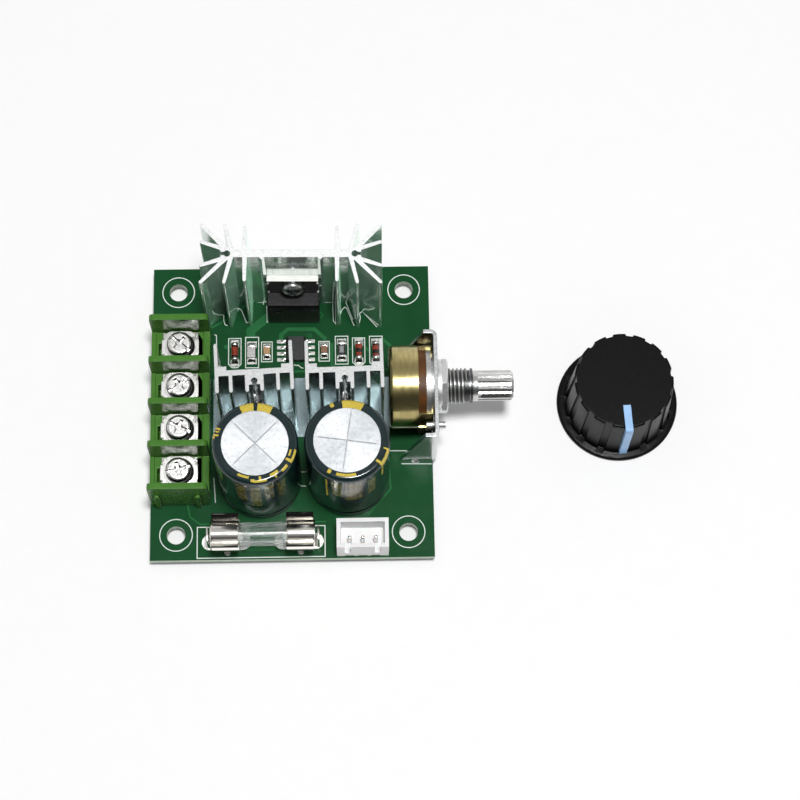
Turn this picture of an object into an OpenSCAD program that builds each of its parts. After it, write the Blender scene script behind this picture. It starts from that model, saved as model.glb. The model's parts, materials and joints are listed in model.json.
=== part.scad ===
// Speed controller board for a small DC motor.
// The origin is the centre of the four mounting holes on the underside of the board.
// +X runs from the terminal block to the control shaft, +Z runs up out of the parts side.

/* [Circuit board] */
// Width of the board, along X
board_w = 55; // [54.5:0.5:70]
// Depth of the board, along Y
board_d = 60; // [59.5:0.5:80]
// Thickness of the board
board_t = 1.6; // [1:0.1:2.4]
// Diameter of the mounting holes
mount_hole_d = 3.6; // [2.8:0.1:4.2]
// Distance from a mounting hole to the edges beside it
mount_inset = 5; // [4:0.1:5.2]
// How far the trimmed leads stand out under the board
lead_reach = 2; // [1.4:0.1:3]
// Gap between a lead and the wall of its hole
lead_clear = 0.15; // [0.05:0.05:0.2]
// Foot diameter of a solder joint
solder_d = 2; // [1.6:0.1:2.2]

/* [Terminal block] */
// Distance from one screw to the next
pole_pitch = 8.5; // [8.3:0.1:9]
// Depth of the housing, from the wire side to its back
block_d = 11.5; // [11.2:0.1:13]
// Height of the barriers above the board
barrier_h = 12; // [11:0.1:14]
// Thickness of each barrier
barrier_t = 1.3; // [1:0.1:1.4]
// Height of the deck that carries the contacts
deck_h = 4.6; // [4:0.1:5.4]
// Width of the rims along the deck
rim_w = 0.9; // [0.6:0.1:1]
// Height of the rims above the deck
rim_h = 0.4; // [0.2:0.1:0.8]
// Gap between the housing and the edge of the board
block_edge_gap = 0.2; // [0:0.1:0.6]
// Thickness of the fixed contacts
contact_t = 0.9; // [0.6:0.1:1.2]
// Size of the clamp plates along the wire
clamp_l = 7.2; // [6.6:0.1:7.4]
// Size of the clamp plates across the wire
clamp_w = 6.5; // [6:0.1:6.6]
// Thickness of the clamp plates
clamp_t = 1.2; // [0.8:0.1:1.6]
// Diameter of the terminal screws' threads
screw_d = 3; // [2.5:0.1:3.2]
// Diameter of the terminal screws' heads
screw_head_d = 4.9; // [4.5:0.1:5.4]
// Height of the terminal screws' heads
screw_head_h = 2.1; // [1.6:0.1:2.4]
// Lift of a clamp plate when its screw is fully loosened
clamp_lift = 2.5; // [1.5:0.1:3]

/* [Star heatsink] */
// Height of the three heatsinks
sink_h = 25; // [20:0.5:30]
// Overall width of the star profile
star_w = 34.7; // [33:0.1:35.5]
// Overall depth of the star profile
star_d = 12.2; // [11.4:0.1:12.6]
// Thickness of the web between the two stars
star_web_t = 1.5; // [1.2:0.1:2]
// Thickness of the star's fins at their roots
star_fin_t = 0.95; // [0.7:0.05:1.1]
// Diameter of the pin hole in each star
star_pin_d = 1.2; // [1:0.05:1.3]

/* [Small heatsinks] */
// Overall width of the small profile
fin_sink_w = 14.7; // [14.6:0.1:15]
// Reach of the small profile behind its web
fin_back = 5.9; // [5.6:0.1:6.2]
// Reach of the small profile in front of its web
fin_front = 3.85; // [3.4:0.05:4]
// Thickness of the web
fin_web_t = 1.1; // [0.9:0.1:1.4]
// Thickness of the fins
fin_t = 0.7; // [0.5:0.05:0.8]
// Diameter of the pin hole in the middle block
key_d = 1.1; // [0.9:0.05:1.2]

/* [Power packages] */
// Width of a power package
package_w = 10; // [9.6:0.1:10]
// Height of its moulded body
package_h = 9.1; // [8.6:0.1:9.3]
// Thickness over tab and body
package_t = 4.5; // [4.2:0.1:4.7]
// Thickness of the metal tab
tab_t = 1.3; // [1:0.05:1.4]
// Height of body and tab together
tab_top = 15.4; // [15:0.1:16]
// Height of the screw hole
tab_hole_h = 12.5; // [12.3:0.1:12.8]
// Distance between leads
lead_pitch = 2.54; // [2.4:0.01:2.6]
// Diameter of the screws that hold the packages
tab_screw_d = 3; // [2.5:0.1:3.2]
// Head diameter of these screws
tab_head_d = 4.6; // [4.2:0.1:5]
// Head height of these screws
tab_head_h = 1.6; // [1.2:0.1:2]

/* [Capacitors] */
// Diameter over the sleeve
cap_d = 16; // [12.5:0.5:16.5]
// Height above the board
cap_h = 25; // [20:0.5:30]
// Thickness of the sleeve
sleeve_t = 0.25; // [0.15:0.05:0.4]
// Width of the sleeve's fold over the top rim
sleeve_fold = 1.5; // [1:0.1:2.2]
// Distance between the two leads
cap_lead_pitch = 7.5; // [5:0.5:8]
// Diameter of the leads
cap_lead_d = 0.8; // [0.6:0.1:1]

/* [Fuse and clips] */
// Length of the fuse
fuse_l = 20; // [19:0.5:22]
// Diameter of the end caps
fuse_cap_d = 5.2; // [5:0.1:5.6]
// Length of the end caps
fuse_cap_l = 5.4; // [4.5:0.1:6]
// Diameter of the glass tube
fuse_glass_d = 4.6; // [4.2:0.1:4.7]
// Bore of the glass tube
fuse_bore_d = 3.4; // [2.8:0.1:3.6]
// Height of the fuse's axis above the board
fuse_axis_h = 6.1; // [5.5:0.1:7]
// Width of each clip
clip_w = 5.2; // [4.5:0.1:5.4]
// Thickness of the clips
clip_t = 0.4; // [0.3:0.05:0.5]

/* [Connector] */
// Width of the connector's housing
plug_w = 10; // [9.8:0.1:11]
// Depth of the housing
plug_d = 5.8; // [5.6:0.1:6.2]
// Height of the housing
plug_h = 7; // [6.5:0.1:8]
// Thickness of its walls
plug_wall = 0.8; // [0.6:0.05:0.9]
// Distance between its pins
plug_pitch = 2.5; // [2.3:0.1:2.6]
// Thickness of its square pins
plug_pin_w = 0.64; // [0.5:0.02:0.7]

/* [Potentiometer] */
// Height of the shaft's axis above the board
axis_h = 10; // [9.8:0.1:11]
// Diameter of the cup
cup_d = 16; // [15.8:0.1:16.2]
// Length of the cup
cup_l = 5.65; // [5.2:0.1:6.2]
// Thickness of the cup's wall
cup_wall = 0.4; // [0.3:0.05:0.5]
// Thickness of the brown wafer
wafer_t = 1.5; // [1.2:0.1:1.8]
// Thickness of the cast front plate
cast_t = 1.45; // [1.3:0.05:1.8]
// Diameter of the threaded bushing
bushing_d = 7; // [6.8:0.1:7.4]
// Length of the bushing from the mounting face
bushing_l = 7; // [6:0.1:9]
// Diameter of the shaft
shaft_d = 6; // [5.9:0.02:6.1]
// Length of the shaft from the mounting face
shaft_l = 15.4; // [14:0.1:20]
// Length of the splines at the end of the shaft
spline_l = 6.8; // [5:0.1:7.2]
// Width of the slot in the end of the shaft
slot_w = 1; // [0.8:0.1:1.2]
// Radial running gap of the shaft in its bushing
shaft_clear = 0.05; // [0.03:0.01:0.08]
// Thickness of the bracket's sheet
bracket_t = 0.75; // [0.6:0.05:1]
// Width of the bracket
bracket_w = 21.5; // [21.2:0.1:24]
// Height of the bracket above the board
bracket_h = 16.4; // [16:0.1:18]
// Length of the bracket's feet along the board
bracket_foot = 6.3; // [5:0.1:6.5]
// Gap between the bracket and the edge of the board
bracket_gap = 0.1; // [0.05:0.05:0.3]
// Nut size across flats
nut_af = 10; // [9.6:0.1:10.4]
// Thickness of the nut
nut_t = 1.15; // [1:0.05:2.4]
// Thickness of the washer
washer_t = 0.9; // [0.4:0.1:1]

/* [Knob] */
// Where the knob stands, along X
knob_x = 64.5; // [60:0.5:75]
// Where the knob stands, along Y
knob_y = 1.6; // [-10:0.2:12]
// Diameter of the flange
knob_flange_d = 23.9; // [22.6:0.1:26]
// Thickness of the flange at its edge
knob_flange_t = 1; // [0.8:0.1:1.4]
// Diameter of the grip at the flange
knob_base_d = 20.8; // [20.2:0.1:21.6]
// Diameter of the grip at the top
knob_top_d = 19.2; // [18.6:0.1:20]
// Height of the knob
knob_h = 14.8; // [14:0.1:18]
// Number of grip pads
knob_pads = 15; // [11:1:18]
// Width of the grooves between the pads
knob_groove_w = 1.45; // [1:0.05:1.8]
// Depth of the bore for the shaft
knob_bore_l = 11; // [9:0.5:12]
// Width of the coloured pointer
pointer_w = 1.5; // [1.2:0.1:1.8]

/* [Small parts] */
// Length of the control chip's body
chip_l = 4.9; // [4.6:0.1:5]
// Width of the chip's body
chip_w = 3.9; // [3.6:0.1:4]
// Height of the chip's body
chip_h = 1.45; // [1.2:0.05:1.6]
// Distance between the chip's leads
chip_pitch = 1.27; // [1.1:0.01:1.3]
// Length of the glass diodes
diode_l = 3.5; // [3.2:0.1:3.7]
// Diameter of the glass diodes
diode_d = 1.5; // [1.3:0.05:1.6]
// Length of the chip resistors
resistor_l = 3.2; // [3:0.1:3.3]
// Width of the chip resistors
resistor_w = 1.6; // [1.4:0.1:1.7]
// Length of the ceramic capacitors
ceramic_l = 2.1; // [1.9:0.1:2.3]
// Width of the ceramic capacitors
ceramic_w = 1.3; // [1.1:0.05:1.4]

/* [Hidden] */

$fn = 48;
overrun = board_t / 8;
seat_gap = board_t / 32;
board_top = board_t;
floor_z = -lead_reach;

// The row across the middle: terminal block, two small heatsinks and potentiometer.
// The board is never narrower than this row, and what is spare goes beside the left heatsink.
row_gap = board_t * 0.65;
row_parts = block_edge_gap + block_d + 2 * fin_sink_w + row_gap + cup_l + wafer_t + cast_t - bracket_gap;
board_x = max(board_w, row_parts + 2 * row_gap);
sink_gap = (board_x - row_parts) / 2;
right_sink_x = board_x / 2 + bracket_gap - cast_t - wafer_t - cup_l - row_gap - fin_sink_w / 2;
left_sink_x = right_sink_x - fin_sink_w - sink_gap;

// Places on the board, as shares of its width and depth
cap_shares = [[-0.111, -0.234], [0.199, -0.229]];
star_share = [0.013, 0.389];
sink_y_shares = [-0.003, 0.0015];
block_share = -0.0235;
plug_share = [0.247, -0.446];
fuse_share = [-0.099, -0.443];
axis_share = 0.0217;
chip_share = [0.016, 0.207];
diode_shares = [[-0.204, 0.201], [0.243, 0.200], [0.304, 0.1995]];
resistor_shares = [[-0.145, 0.201], [0.181, 0.2065]];
ceramic_shares = [[-0.089, 0.204], [0.118, 0.2055]];

function on_board(share) = [share[0] * board_x, share[1] * board_d];
function turned(p, angle) = [p[0] * cos(angle) - p[1] * sin(angle),
                             p[0] * sin(angle) + p[1] * cos(angle)];
function placed(centre, angle, p) = centre + turned(p, angle);

// Small turns that the hand-soldered heatsinks show
star_turn = -0.75;
sink_turns = [2.4, 1.2];
star_centre = on_board(star_share);
sink_centres = [[left_sink_x, sink_y_shares[0] * board_d], [right_sink_x, sink_y_shares[1] * board_d]];

// Plain shapes that many pieces use
module block(low, high) {
    translate(low) cube(high - low);
}

// Outlines are lists of points. An arc is stepped evenly, both ends included.
function arc(centre, r, from, to, steps = 6) = [for (k = [0:steps])
    let (a = from + (to - from) * k / steps) centre + r * [cos(a), sin(a)]];
function backwards(list) = [for (i = [len(list) - 1:-1:0]) list[i]];
function flipped(list, x, y) = [for (p = list) [p[0] * x, p[1] * y]];

// A rectangle with four round corners, lower corner at the origin
module round_plan(size, r) {
    polygon(concat(arc([r, r], r, 180, 270), arc([size[0] - r, r], r, 270, 360),
                   arc([size[0] - r, size[1] - r], r, 0, 90), arc([r, size[1] - r], r, 90, 180)));
}

// A bent strip of even thickness that follows a line of points
function side_of(path, t, s) = [for (i = [0:len(path) - 1])
    let (a = path[max(i - 1, 0)], b = path[min(i + 1, len(path) - 1)],
         u = (path[i] - a) / max(norm(path[i] - a), seat_gap / 1000),
         v = (b - path[i]) / max(norm(b - path[i]), seat_gap / 1000),
         m = (u + v) / norm(u + v), grow = i == 0 || i == len(path) - 1 ? 1 : 1 / (m * v))
    path[i] + [-m[1], m[0]] * s * grow * t / 2];
function strip(path, t) = concat(side_of(path, t, -1), backwards(side_of(path, t, 1)));

// Leads and pins: where each goes through the board, and its hole's diameter
pole_x = -board_x / 2 + block_edge_gap + block_d / 2;
block_y = block_share * board_d;
function pole_y(i) = block_y + (1.5 - i) * pole_pitch;
contact_leg_t = contact_t * 2 / 3;
contact_l = clamp_l - contact_t / 3;
contact_leg_x = contact_l / 2 - contact_leg_t / 2;
contact_pin_w = contact_t * 4 / 3;

hub_x = star_w * 0.3495;
star_pins = [for (side = [-1, 1]) placed(star_centre, star_turn, [side * hub_x, 0])];
key_y = -fin_front * 0.45;
sink_pins = [for (i = [0, 1]) placed(sink_centres[i], sink_turns[i], [0, key_y])];

package_lead_y = tab_t + (package_t - tab_t) * 0.42;
package_lead_w = lead_pitch * 0.3;
package_lead_t = tab_t * 0.4;
transistor_holes = [for (i = [-1, 0, 1]) placed(star_centre, star_turn,
    [i * lead_pitch, -star_web_t / 2 - package_lead_y])];
device_holes = [for (s = [0, 1], i = [-1, 0, 1]) placed(sink_centres[s], sink_turns[s],
    [i * lead_pitch, fin_web_t / 2 + package_lead_y])];

cap_centres = [for (share = cap_shares) on_board(share)];
cap_holes = [for (centre = cap_centres, side = [-1, 1]) centre + [side * cap_lead_pitch / 2, 0]];

plug_centre = on_board(plug_share);
plug_pin_y = -plug_d * 0.09;
plug_holes = [for (i = [-1, 0, 1]) plug_centre + [i * plug_pitch, plug_pin_y]];

fuse_centre = on_board(fuse_share);
clip_x = fuse_l / 2 - fuse_cap_l / 2 - clip_t / 2;
clip_leg_y = fuse_cap_d * 0.37;
clip_leg_w = clip_w * 0.2;
clip_holes = [for (x = [-clip_x, clip_x], y = [-clip_leg_y, clip_leg_y]) fuse_centre + [x, y]];

axis_y = axis_share * board_d;
face_x = board_x / 2 + bracket_gap;
axis_z = board_top + axis_h;
pot_pin_pitch = cup_d * 5 / 16;
pot_pin_t = wafer_t * 0.3;
pot_pin_x = face_x - cast_t + pot_pin_t / 2;
pot_pin_w = wafer_t * 0.7;
pot_holes = [for (i = [-1, 0, 1]) [pot_pin_x, axis_y + i * pot_pin_pitch]];
bracket_tab_x = face_x - bracket_foot * 0.55;
bracket_tab_w = bracket_foot * 0.2;
bracket_holes = [for (side = [-1, 1]) [bracket_tab_x, side * (bracket_w - bracket_t) / 2]];

pole_holes = [for (i = [0:3]) [pole_x + contact_leg_x, pole_y(i)]];

// Each group: places and the diameter that clears the lead
lead_groups = [
    [pole_holes, norm([contact_leg_t, contact_pin_w])],
    [star_pins, star_pin_d],
    [sink_pins, key_d],
    [transistor_holes, norm([package_lead_w, package_lead_t])],
    [device_holes, norm([package_lead_w, package_lead_t])],
    [cap_holes, cap_lead_d],
    [plug_holes, norm([plug_pin_w, plug_pin_w])],
    [clip_holes, norm([clip_leg_w, clip_t])],
    [pot_holes, norm([pot_pin_t, pot_pin_w])],
    [bracket_holes, norm([bracket_tab_w, bracket_t])]
];

// The board, drilled for its leads and its mounting screws
module circuit_board() {
    mount_x = board_x / 2 - mount_inset;
    mount_y = board_d / 2 - mount_inset;
    color("darkgreen") difference() {
        block([-board_x / 2, -board_d / 2, 0], [board_x / 2, board_d / 2, board_t]);
        for (x = [-mount_x, mount_x], y = [-mount_y, mount_y])
            translate([x, y, -overrun]) cylinder(d = mount_hole_d, h = board_t + 2 * overrun);
        for (group = lead_groups, place = group[0])
            translate([place[0], place[1], -overrun])
                cylinder(d = group[1] + 2 * lead_clear, h = board_t + 2 * overrun, $fn = 24);
    }
}

// Solder cones under the board, one round each lead
module solder_joints() {
    solder_h = lead_reach * 0.6;
    color("gainsboro") for (group = lead_groups, place = group[0])
        translate([place[0], place[1], -solder_h]) difference() {
            cylinder(d1 = group[1] + 2 * lead_clear, d2 = max(solder_d, group[1] * 1.4),
                     h = solder_h, $fn = 24);
            translate([0, 0, -overrun]) cylinder(d = group[1] + seat_gap, h = solder_h + 2 * overrun,
                                                 $fn = 24);
        }
}

// Terminal block: barriers stand on a deck, and each pole has a slot at both ends of its contact
slot_l = clamp_w * 0.42;
slot_reach = contact_l / 2 + contact_t;
slot_depth = deck_h * 0.75;
boss_d = screw_d * 1.6;
boss_h = deck_h * 0.6;
pole_gap = pole_pitch - barrier_t;
block_l = 4 * pole_pitch + barrier_t;

module barrier_plan() {
    r = barrier_t * 0.7;
    polygon(concat([[-block_d / 2, 0], [block_d / 2, 0]],
                   arc([block_d / 2 - r, barrier_h - r], r, 0, 90),
                   arc([-block_d / 2 + r, barrier_h - r], r, 90, 180)));
}

// Ribs on the south end that slide into the grooves on the north end of a next block
module link_ribs(grow) {
    stem_w = barrier_t * 0.52 + grow;
    head_w = barrier_t * 0.8 + grow;
    rib_reach = barrier_t * 0.46;
    rib_h = barrier_h * 0.64;
    for (x = [-block_d * 0.36, block_d * 0.32]) translate([x, 0, 0]) {
        block([-stem_w / 2, -rib_reach, 0], [stem_w / 2, overrun, rib_h]);
        block([-head_w / 2, -rib_reach, 0], [head_w / 2, -rib_reach / 2, rib_h]);
    }
}

module terminal_housing() {
    color("olivedrab") translate([pole_x, block_y, board_top]) {
        difference() {
            union() {
                block([-block_d / 2, -block_l / 2, 0], [block_d / 2, block_l / 2, deck_h]);
                block([-block_d / 2, -block_l / 2, 0], [-block_d / 2 + rim_w, block_l / 2, deck_h + rim_h]);
                block([block_d / 2 - 1.5 * rim_w, -block_l / 2, 0], [block_d / 2, block_l / 2, deck_h + rim_h]);
                for (i = [-2:2]) translate([0, i * pole_pitch + barrier_t / 2, 0])
                    rotate([90, 0, 0]) linear_extrude(barrier_t) barrier_plan();
            }
            for (i = [0:3]) translate([0, pole_y(i) - block_y, 0]) {
                for (side = [-1, 1]) mirror([side < 0 ? 1 : 0, 0, 0])
                    block([contact_l / 2 - contact_leg_t - lead_clear, -slot_l / 2,
                           deck_h - slot_depth], [slot_reach, slot_l / 2, deck_h + overrun]);
                translate([0, 0, deck_h - boss_h - clamp_lift / 3])
                    cylinder(d = boss_d + 2 * lead_clear, h = boss_h + clamp_lift);
                block([contact_leg_x - contact_leg_t, -contact_pin_w / 2 - lead_clear, -overrun],
                      [contact_leg_x + contact_leg_t, contact_pin_w / 2 + lead_clear, deck_h]);
            }
            translate([0, block_l / 2, 0]) link_ribs(lead_clear);
        }
        translate([0, -block_l / 2, 0]) link_ribs(0);
    }
}

// Each fixed contact is a bent strip with a tapped boss and one solder pin
module terminal_contact() {
    leg_h = slot_depth * 0.9;
    difference() {
        union() {
            block([-contact_l / 2, -clamp_w / 2, deck_h], [contact_l / 2, clamp_w / 2, deck_h + contact_t]);
            translate([0, 0, deck_h - boss_h]) cylinder(d = boss_d, h = boss_h + overrun);
            for (side = [-1, 1]) translate([side * contact_leg_x, 0, deck_h - leg_h])
                block([-contact_leg_t / 2, -slot_l * 0.45, 0],
                      [contact_leg_t / 2, slot_l * 0.45, leg_h + overrun]);
            block([contact_leg_x - contact_leg_t / 2, -contact_pin_w / 2, floor_z - board_top],
                  [contact_leg_x + contact_leg_t / 2, contact_pin_w / 2, deck_h]);
        }
        translate([0, 0, deck_h - boss_h - overrun])
            cylinder(d = screw_d + 2 * shaft_clear, h = boss_h + contact_t + 2 * overrun);
    }
}

module terminal_contacts() {
    color("gold") for (i = [0:3])
        translate([pole_x, pole_y(i), board_top]) terminal_contact();
}

// Clamp plate: a square washer with two ears and a raised ring under the screw head
clamp_z = board_top + deck_h + contact_t + seat_gap;
module clamp_plate(i) {
    corner = clamp_w * 0.24;
    ear_w = clamp_w * 0.46;
    body_l = clamp_l * 0.86;
    quarter = concat([[clamp_l / 2, ear_w / 2], [body_l / 2, ear_w / 2]],
                     arc([body_l / 2 - corner, clamp_w / 2 - corner], corner, 0, 90));
    color("silver") translate([pole_x, pole_y(i), clamp_z]) difference() {
        union() {
            linear_extrude(clamp_t * 0.7) polygon(concat(quarter, backwards(flipped(quarter, -1, 1)),
                flipped(quarter, -1, -1), backwards(flipped(quarter, 1, -1))));
            cylinder(d = screw_head_d * 1.16, h = clamp_t);
        }
        translate([0, 0, -overrun]) cylinder(d = screw_d * 1.12, h = clamp_t + 2 * overrun);
    }
}
module terminal_clamp_1() { clamp_plate(0); }
module terminal_clamp_2() { clamp_plate(1); }
module terminal_clamp_3() { clamp_plate(2); }
module terminal_clamp_4() { clamp_plate(3); }

// Cross recess with one long slot, as on a terminal screw
module cross_recess(head_d, depth) {
    for (angle = [0, 90]) rotate([0, 0, angle])
        translate([-head_d * 0.3, -head_d * 0.07, -depth]) cube([head_d * 0.6, head_d * 0.14, depth + overrun]);
    translate([0, 0, -depth]) cylinder(d1 = head_d * 0.14, d2 = head_d * 0.34, h = depth + overrun, $fn = 24);
}

module screw_head(head_d, head_h) {
    edge = head_h * 0.3;
    rotate_extrude() polygon([[0, 0], [head_d / 2, 0], [head_d / 2, head_h - edge],
        [head_d / 2 - edge / 3, head_h - edge / 3], [head_d / 2 - edge, head_h], [0, head_h]]);
}

module terminal_screw(i, turn) {
    shank_l = boss_h + contact_t + clamp_t + clamp_lift / 4;
    color("lightgray") translate([pole_x, pole_y(i), clamp_z + clamp_t + seat_gap])
        rotate([0, 0, turn]) {
            difference() {
                screw_head(screw_head_d, screw_head_h);
                translate([0, 0, screw_head_h]) {
                    cross_recess(screw_head_d, screw_head_h * 0.6);
                    translate([-screw_head_d / 2, -screw_head_d * 0.07, -screw_head_h * 0.3])
                        cube([screw_head_d, screw_head_d * 0.14, screw_head_h]);
                }
            }
            translate([0, 0, -shank_l]) cylinder(d = screw_d, h = shank_l);
        }
}
screw_turns = [-40, 35, -25, 15];
module terminal_screw_1() { terminal_screw(0, screw_turns[0]); }
module terminal_screw_2() { terminal_screw(1, screw_turns[1]); }
module terminal_screw_3() { terminal_screw(2, screw_turns[2]); }
module terminal_screw_4() { terminal_screw(3, screw_turns[3]); }

// Star heatsink: one quarter of the profile is drawn and mirrored for the others.
// A fin is [root, tip, thickness at the root, thickness at the tip].
star_tip_t = star_fin_t * 0.7;
function crossed(a, b) = a[0] * b[1] - a[1] * b[0];
function meet(a, b) = a[0] + (a[1] - a[0])
    * crossed(b[0] - a[0], b[1] - b[0]) / crossed(a[1] - a[0], b[1] - b[0]);
function fin_side(fin, s) = let (along = fin[1] - fin[0], n = [-along[1], along[0]] / norm(along))
    [fin[0] + n * s * fin[2] / 2, fin[1] + n * s * fin[3] / 2];
function fin_tip(fin) = let (along = fin[1] - fin[0], a = atan2(along[1], along[0]))
    arc(fin[1], fin[3] / 2, a - 90, a + 90);

hub_r = star_pin_d;
tip_x = star_w / 2 - star_tip_t / 2;
tip_y = star_d / 2 - star_tip_t / 2;
inner_fin_x = hub_x - star_w * 0.097;
star_fins = [for (fin = [[[-inner_fin_x, 0], [-inner_fin_x, tip_y * 0.92]],
                         [[star_fin_t - hub_x, 0], [-hub_x - star_fin_t / 2, tip_y]],
                         [[-hub_x, star_web_t / 2], [-tip_x, tip_y]],
                         [[-hub_x, star_web_t / 2], [-tip_x, tip_y * 0.41]]])
             [fin[0], fin[1], star_fin_t, star_tip_t]];
web_line = [[0, star_web_t / 2], [-hub_x, star_web_t / 2]];
hub_line = [[-hub_x - hub_r, star_web_t], [-hub_x - hub_r, 0]];
function edge_of(k, s) = fin_side(star_fins[k], s);
star_valleys = [[[web_line, edge_of(0, -1)]],
                [[edge_of(0, 1), web_line], [web_line, edge_of(1, -1)]],
                [[edge_of(1, 1), edge_of(2, -1)]],
                [[edge_of(2, 1), edge_of(3, -1)]],
                [[edge_of(3, 1), hub_line]]];
star_quarter = [for (k = [0:4]) each concat([for (pair = star_valleys[k]) meet(pair[0], pair[1])],
                                            k == 4 ? [] : fin_tip(star_fins[k]))];

// Two ridges on the front of the web keep the package from turning
ridge_x = package_w / 2 + star_fin_t * 0.6;
ridge_w = star_fin_t * 0.55;
ridges = [for (x = [-ridge_x, ridge_x], k = [-1:1])
    [x + k * ridge_w, -star_web_t / 2 - (1 - abs(k)) * ridge_w]];

module star_plan() {
    polygon(concat(star_quarter, backwards(flipped(star_quarter, 1, -1)), ridges,
                   flipped(star_quarter, -1, -1), backwards(flipped(star_quarter, -1, 1))));
}

module star_heatsink() {
    color("lightgray") translate([star_centre[0], star_centre[1], board_top])
        rotate([0, 0, star_turn]) difference() {
            linear_extrude(sink_h) star_plan();
            translate([0, star_web_t, tab_hole_h]) rotate([90, 0, 0])
                cylinder(d = tab_screw_d * 1.1, h = 2 * star_web_t);
            for (side = [0, 1]) mirror([side, 0, 0]) translate([hub_x, 0, -overrun]) {
                cylinder(d = star_pin_d + seat_gap, h = sink_h + 2 * overrun, $fn = 24);
                translate([0, -star_pin_d / 4, 0]) cube([2 * hub_r, star_pin_d / 2, sink_h + 2 * overrun]);
            }
        }
}

// Small heatsink: long outer fins, short inner fins and a slotted middle block
rest_step = fin_web_t * 0.7;
mouth_y = -fin_front * 0.65;
module sink_plan() {
    half = fin_sink_w / 2;
    tip = fin_t / 2;
    leg_x = fin_sink_w * 0.119;
    inner_x = fin_sink_w * 0.3;
    step_x = package_w / 2 + star_fin_t / 10;
    low = -fin_front + tip;
    web = fin_web_t / 2;
    right = concat([[leg_x - fin_t, mouth_y]], arc([leg_x - tip, low], tip, 180, 360),
        [[leg_x, -web], [inner_x - tip, -web]], arc([inner_x, low], tip, 180, 360),
        [[inner_x + tip, -web], [half - fin_t, -web]], arc([half - tip, low], tip, 180, 360),
        arc([half - tip, fin_back - tip], tip, 0, 180),
        [[half - fin_t, web + rest_step], [step_x, web + rest_step], [step_x, web]]);
    polygon(concat(right, backwards(flipped(right, -1, 1))));
}

module small_sink(i) {
    color("lightgray") translate([sink_centres[i][0], sink_centres[i][1], board_top])
        rotate([0, 0, sink_turns[i]]) difference() {
            linear_extrude(sink_h) sink_plan();
            translate([0, fin_web_t, tab_hole_h]) rotate([90, 0, 0])
                cylinder(d = tab_screw_d + 2 * seat_gap, h = fin_front + 2 * fin_web_t);
            translate([0, key_y, -overrun]) {
                cylinder(d = key_d + seat_gap, h = sink_h + 2 * overrun, $fn = 24);
                block([-key_d * 0.36, mouth_y - key_y - overrun, 0], [key_d * 0.36, 0, sink_h + 2 * overrun]);
            }
        }
}
module left_heatsink() { small_sink(0); }
module right_heatsink() { small_sink(1); }

// Pins pressed into the heatsinks and soldered into the board
module heatsink_pins() {
    pin_h = tab_hole_h * 0.6;
    color("gainsboro") {
        for (place = star_pins) translate([place[0], place[1], floor_z])
            cylinder(d = star_pin_d, h = pin_h - floor_z, $fn = 24);
        for (place = sink_pins) translate([place[0], place[1], floor_z])
            cylinder(d = key_d, h = pin_h - floor_z, $fn = 24);
    }
}

// A power package stands with its tab's back on the plane y = 0 and faces -Y
package_lift = tab_t / 8;
module package_body() {
    slope = package_t * 0.05;
    mark_d = package_w * 0.12;
    translate([0, 0, package_lift]) difference() {
        rotate([90, 0, 90]) translate([0, 0, -package_w / 2]) linear_extrude(package_w)
            polygon([[-tab_t, 0], [-package_t + slope, 0], [-package_t, package_h * 0.2],
                     [-package_t, package_h * 0.84], [-package_t + slope * 2, package_h],
                     [-tab_t, package_h]]);
        translate([-package_w * 0.3, -package_t + slope, package_h * 0.72]) rotate([90, 0, 0])
            cylinder(d = mark_d, h = package_t, $fn = 24);
    }
}

module package_tab() {
    notch = package_w * 0.06;
    translate([0, 0, package_lift]) difference() {
        block([-package_w / 2, -tab_t, 0], [package_w / 2, 0, tab_top - package_lift]);
        translate([0, overrun, tab_hole_h - package_lift]) rotate([90, 0, 0])
            cylinder(d = tab_screw_d * 1.2, h = tab_t + 2 * overrun);
        for (side = [-1, 1], z = [package_h * 1.06, tab_top * 0.93])
            translate([side * package_w / 2, overrun, z]) rotate([90, 0, 0])
                cylinder(r = notch, h = tab_t + 2 * overrun, $fn = 24);
    }
}

module package_leads() {
    for (i = [-1, 0, 1])
        block([i * lead_pitch - package_lead_w / 2, -package_lead_y - package_lead_t / 2, floor_z - board_top],
              [i * lead_pitch + package_lead_w / 2, -package_lead_y + package_lead_t / 2, package_lift]);
}

module package_screw(grip) {
    translate([0, -tab_t, tab_hole_h]) rotate([90, 0, 0]) {
        difference() {
            screw_head(tab_head_d, tab_head_h);
            translate([0, 0, tab_head_h]) cross_recess(tab_head_d, tab_head_h * 0.6);
        }
        translate([0, 0, -grip]) cylinder(d = tab_screw_d, h = grip);
    }
}

// The front transistor sits on the star heatsink between its two locating ridges
module at_star() {
    translate([star_centre[0], star_centre[1], board_top]) rotate([0, 0, star_turn])
        translate([0, -star_web_t / 2, 0]) children();
}
// The other two packages sit on the back of the small heatsinks
module at_sink(i) {
    translate([sink_centres[i][0], sink_centres[i][1], board_top]) rotate([0, 0, sink_turns[i] + 180])
        translate([0, -fin_web_t / 2, 0]) children();
}

module transistor_body() { color("dimgray") at_star() package_body(); }
module transistor_tab() { color("silver") at_star() package_tab(); }
module transistor_leads() { color("silver") at_star() package_leads(); }
module left_device_body() { color("dimgray") at_sink(0) package_body(); }
module left_device_tab() { color("silver") at_sink(0) package_tab(); }
module left_device_leads() { color("silver") at_sink(0) package_leads(); }
module right_device_body() { color("dimgray") at_sink(1) package_body(); }
module right_device_tab() { color("silver") at_sink(1) package_tab(); }
module right_device_leads() { color("silver") at_sink(1) package_leads(); }

back_nut_t = tab_screw_d * 0.8;
module package_screws() {
    color("silver") {
        at_star() package_screw(tab_t + star_web_t + back_nut_t * 1.3);
        for (i = [0, 1]) at_sink(i) package_screw(tab_t + fin_web_t / 2 + fin_front);
    }
}

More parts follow.
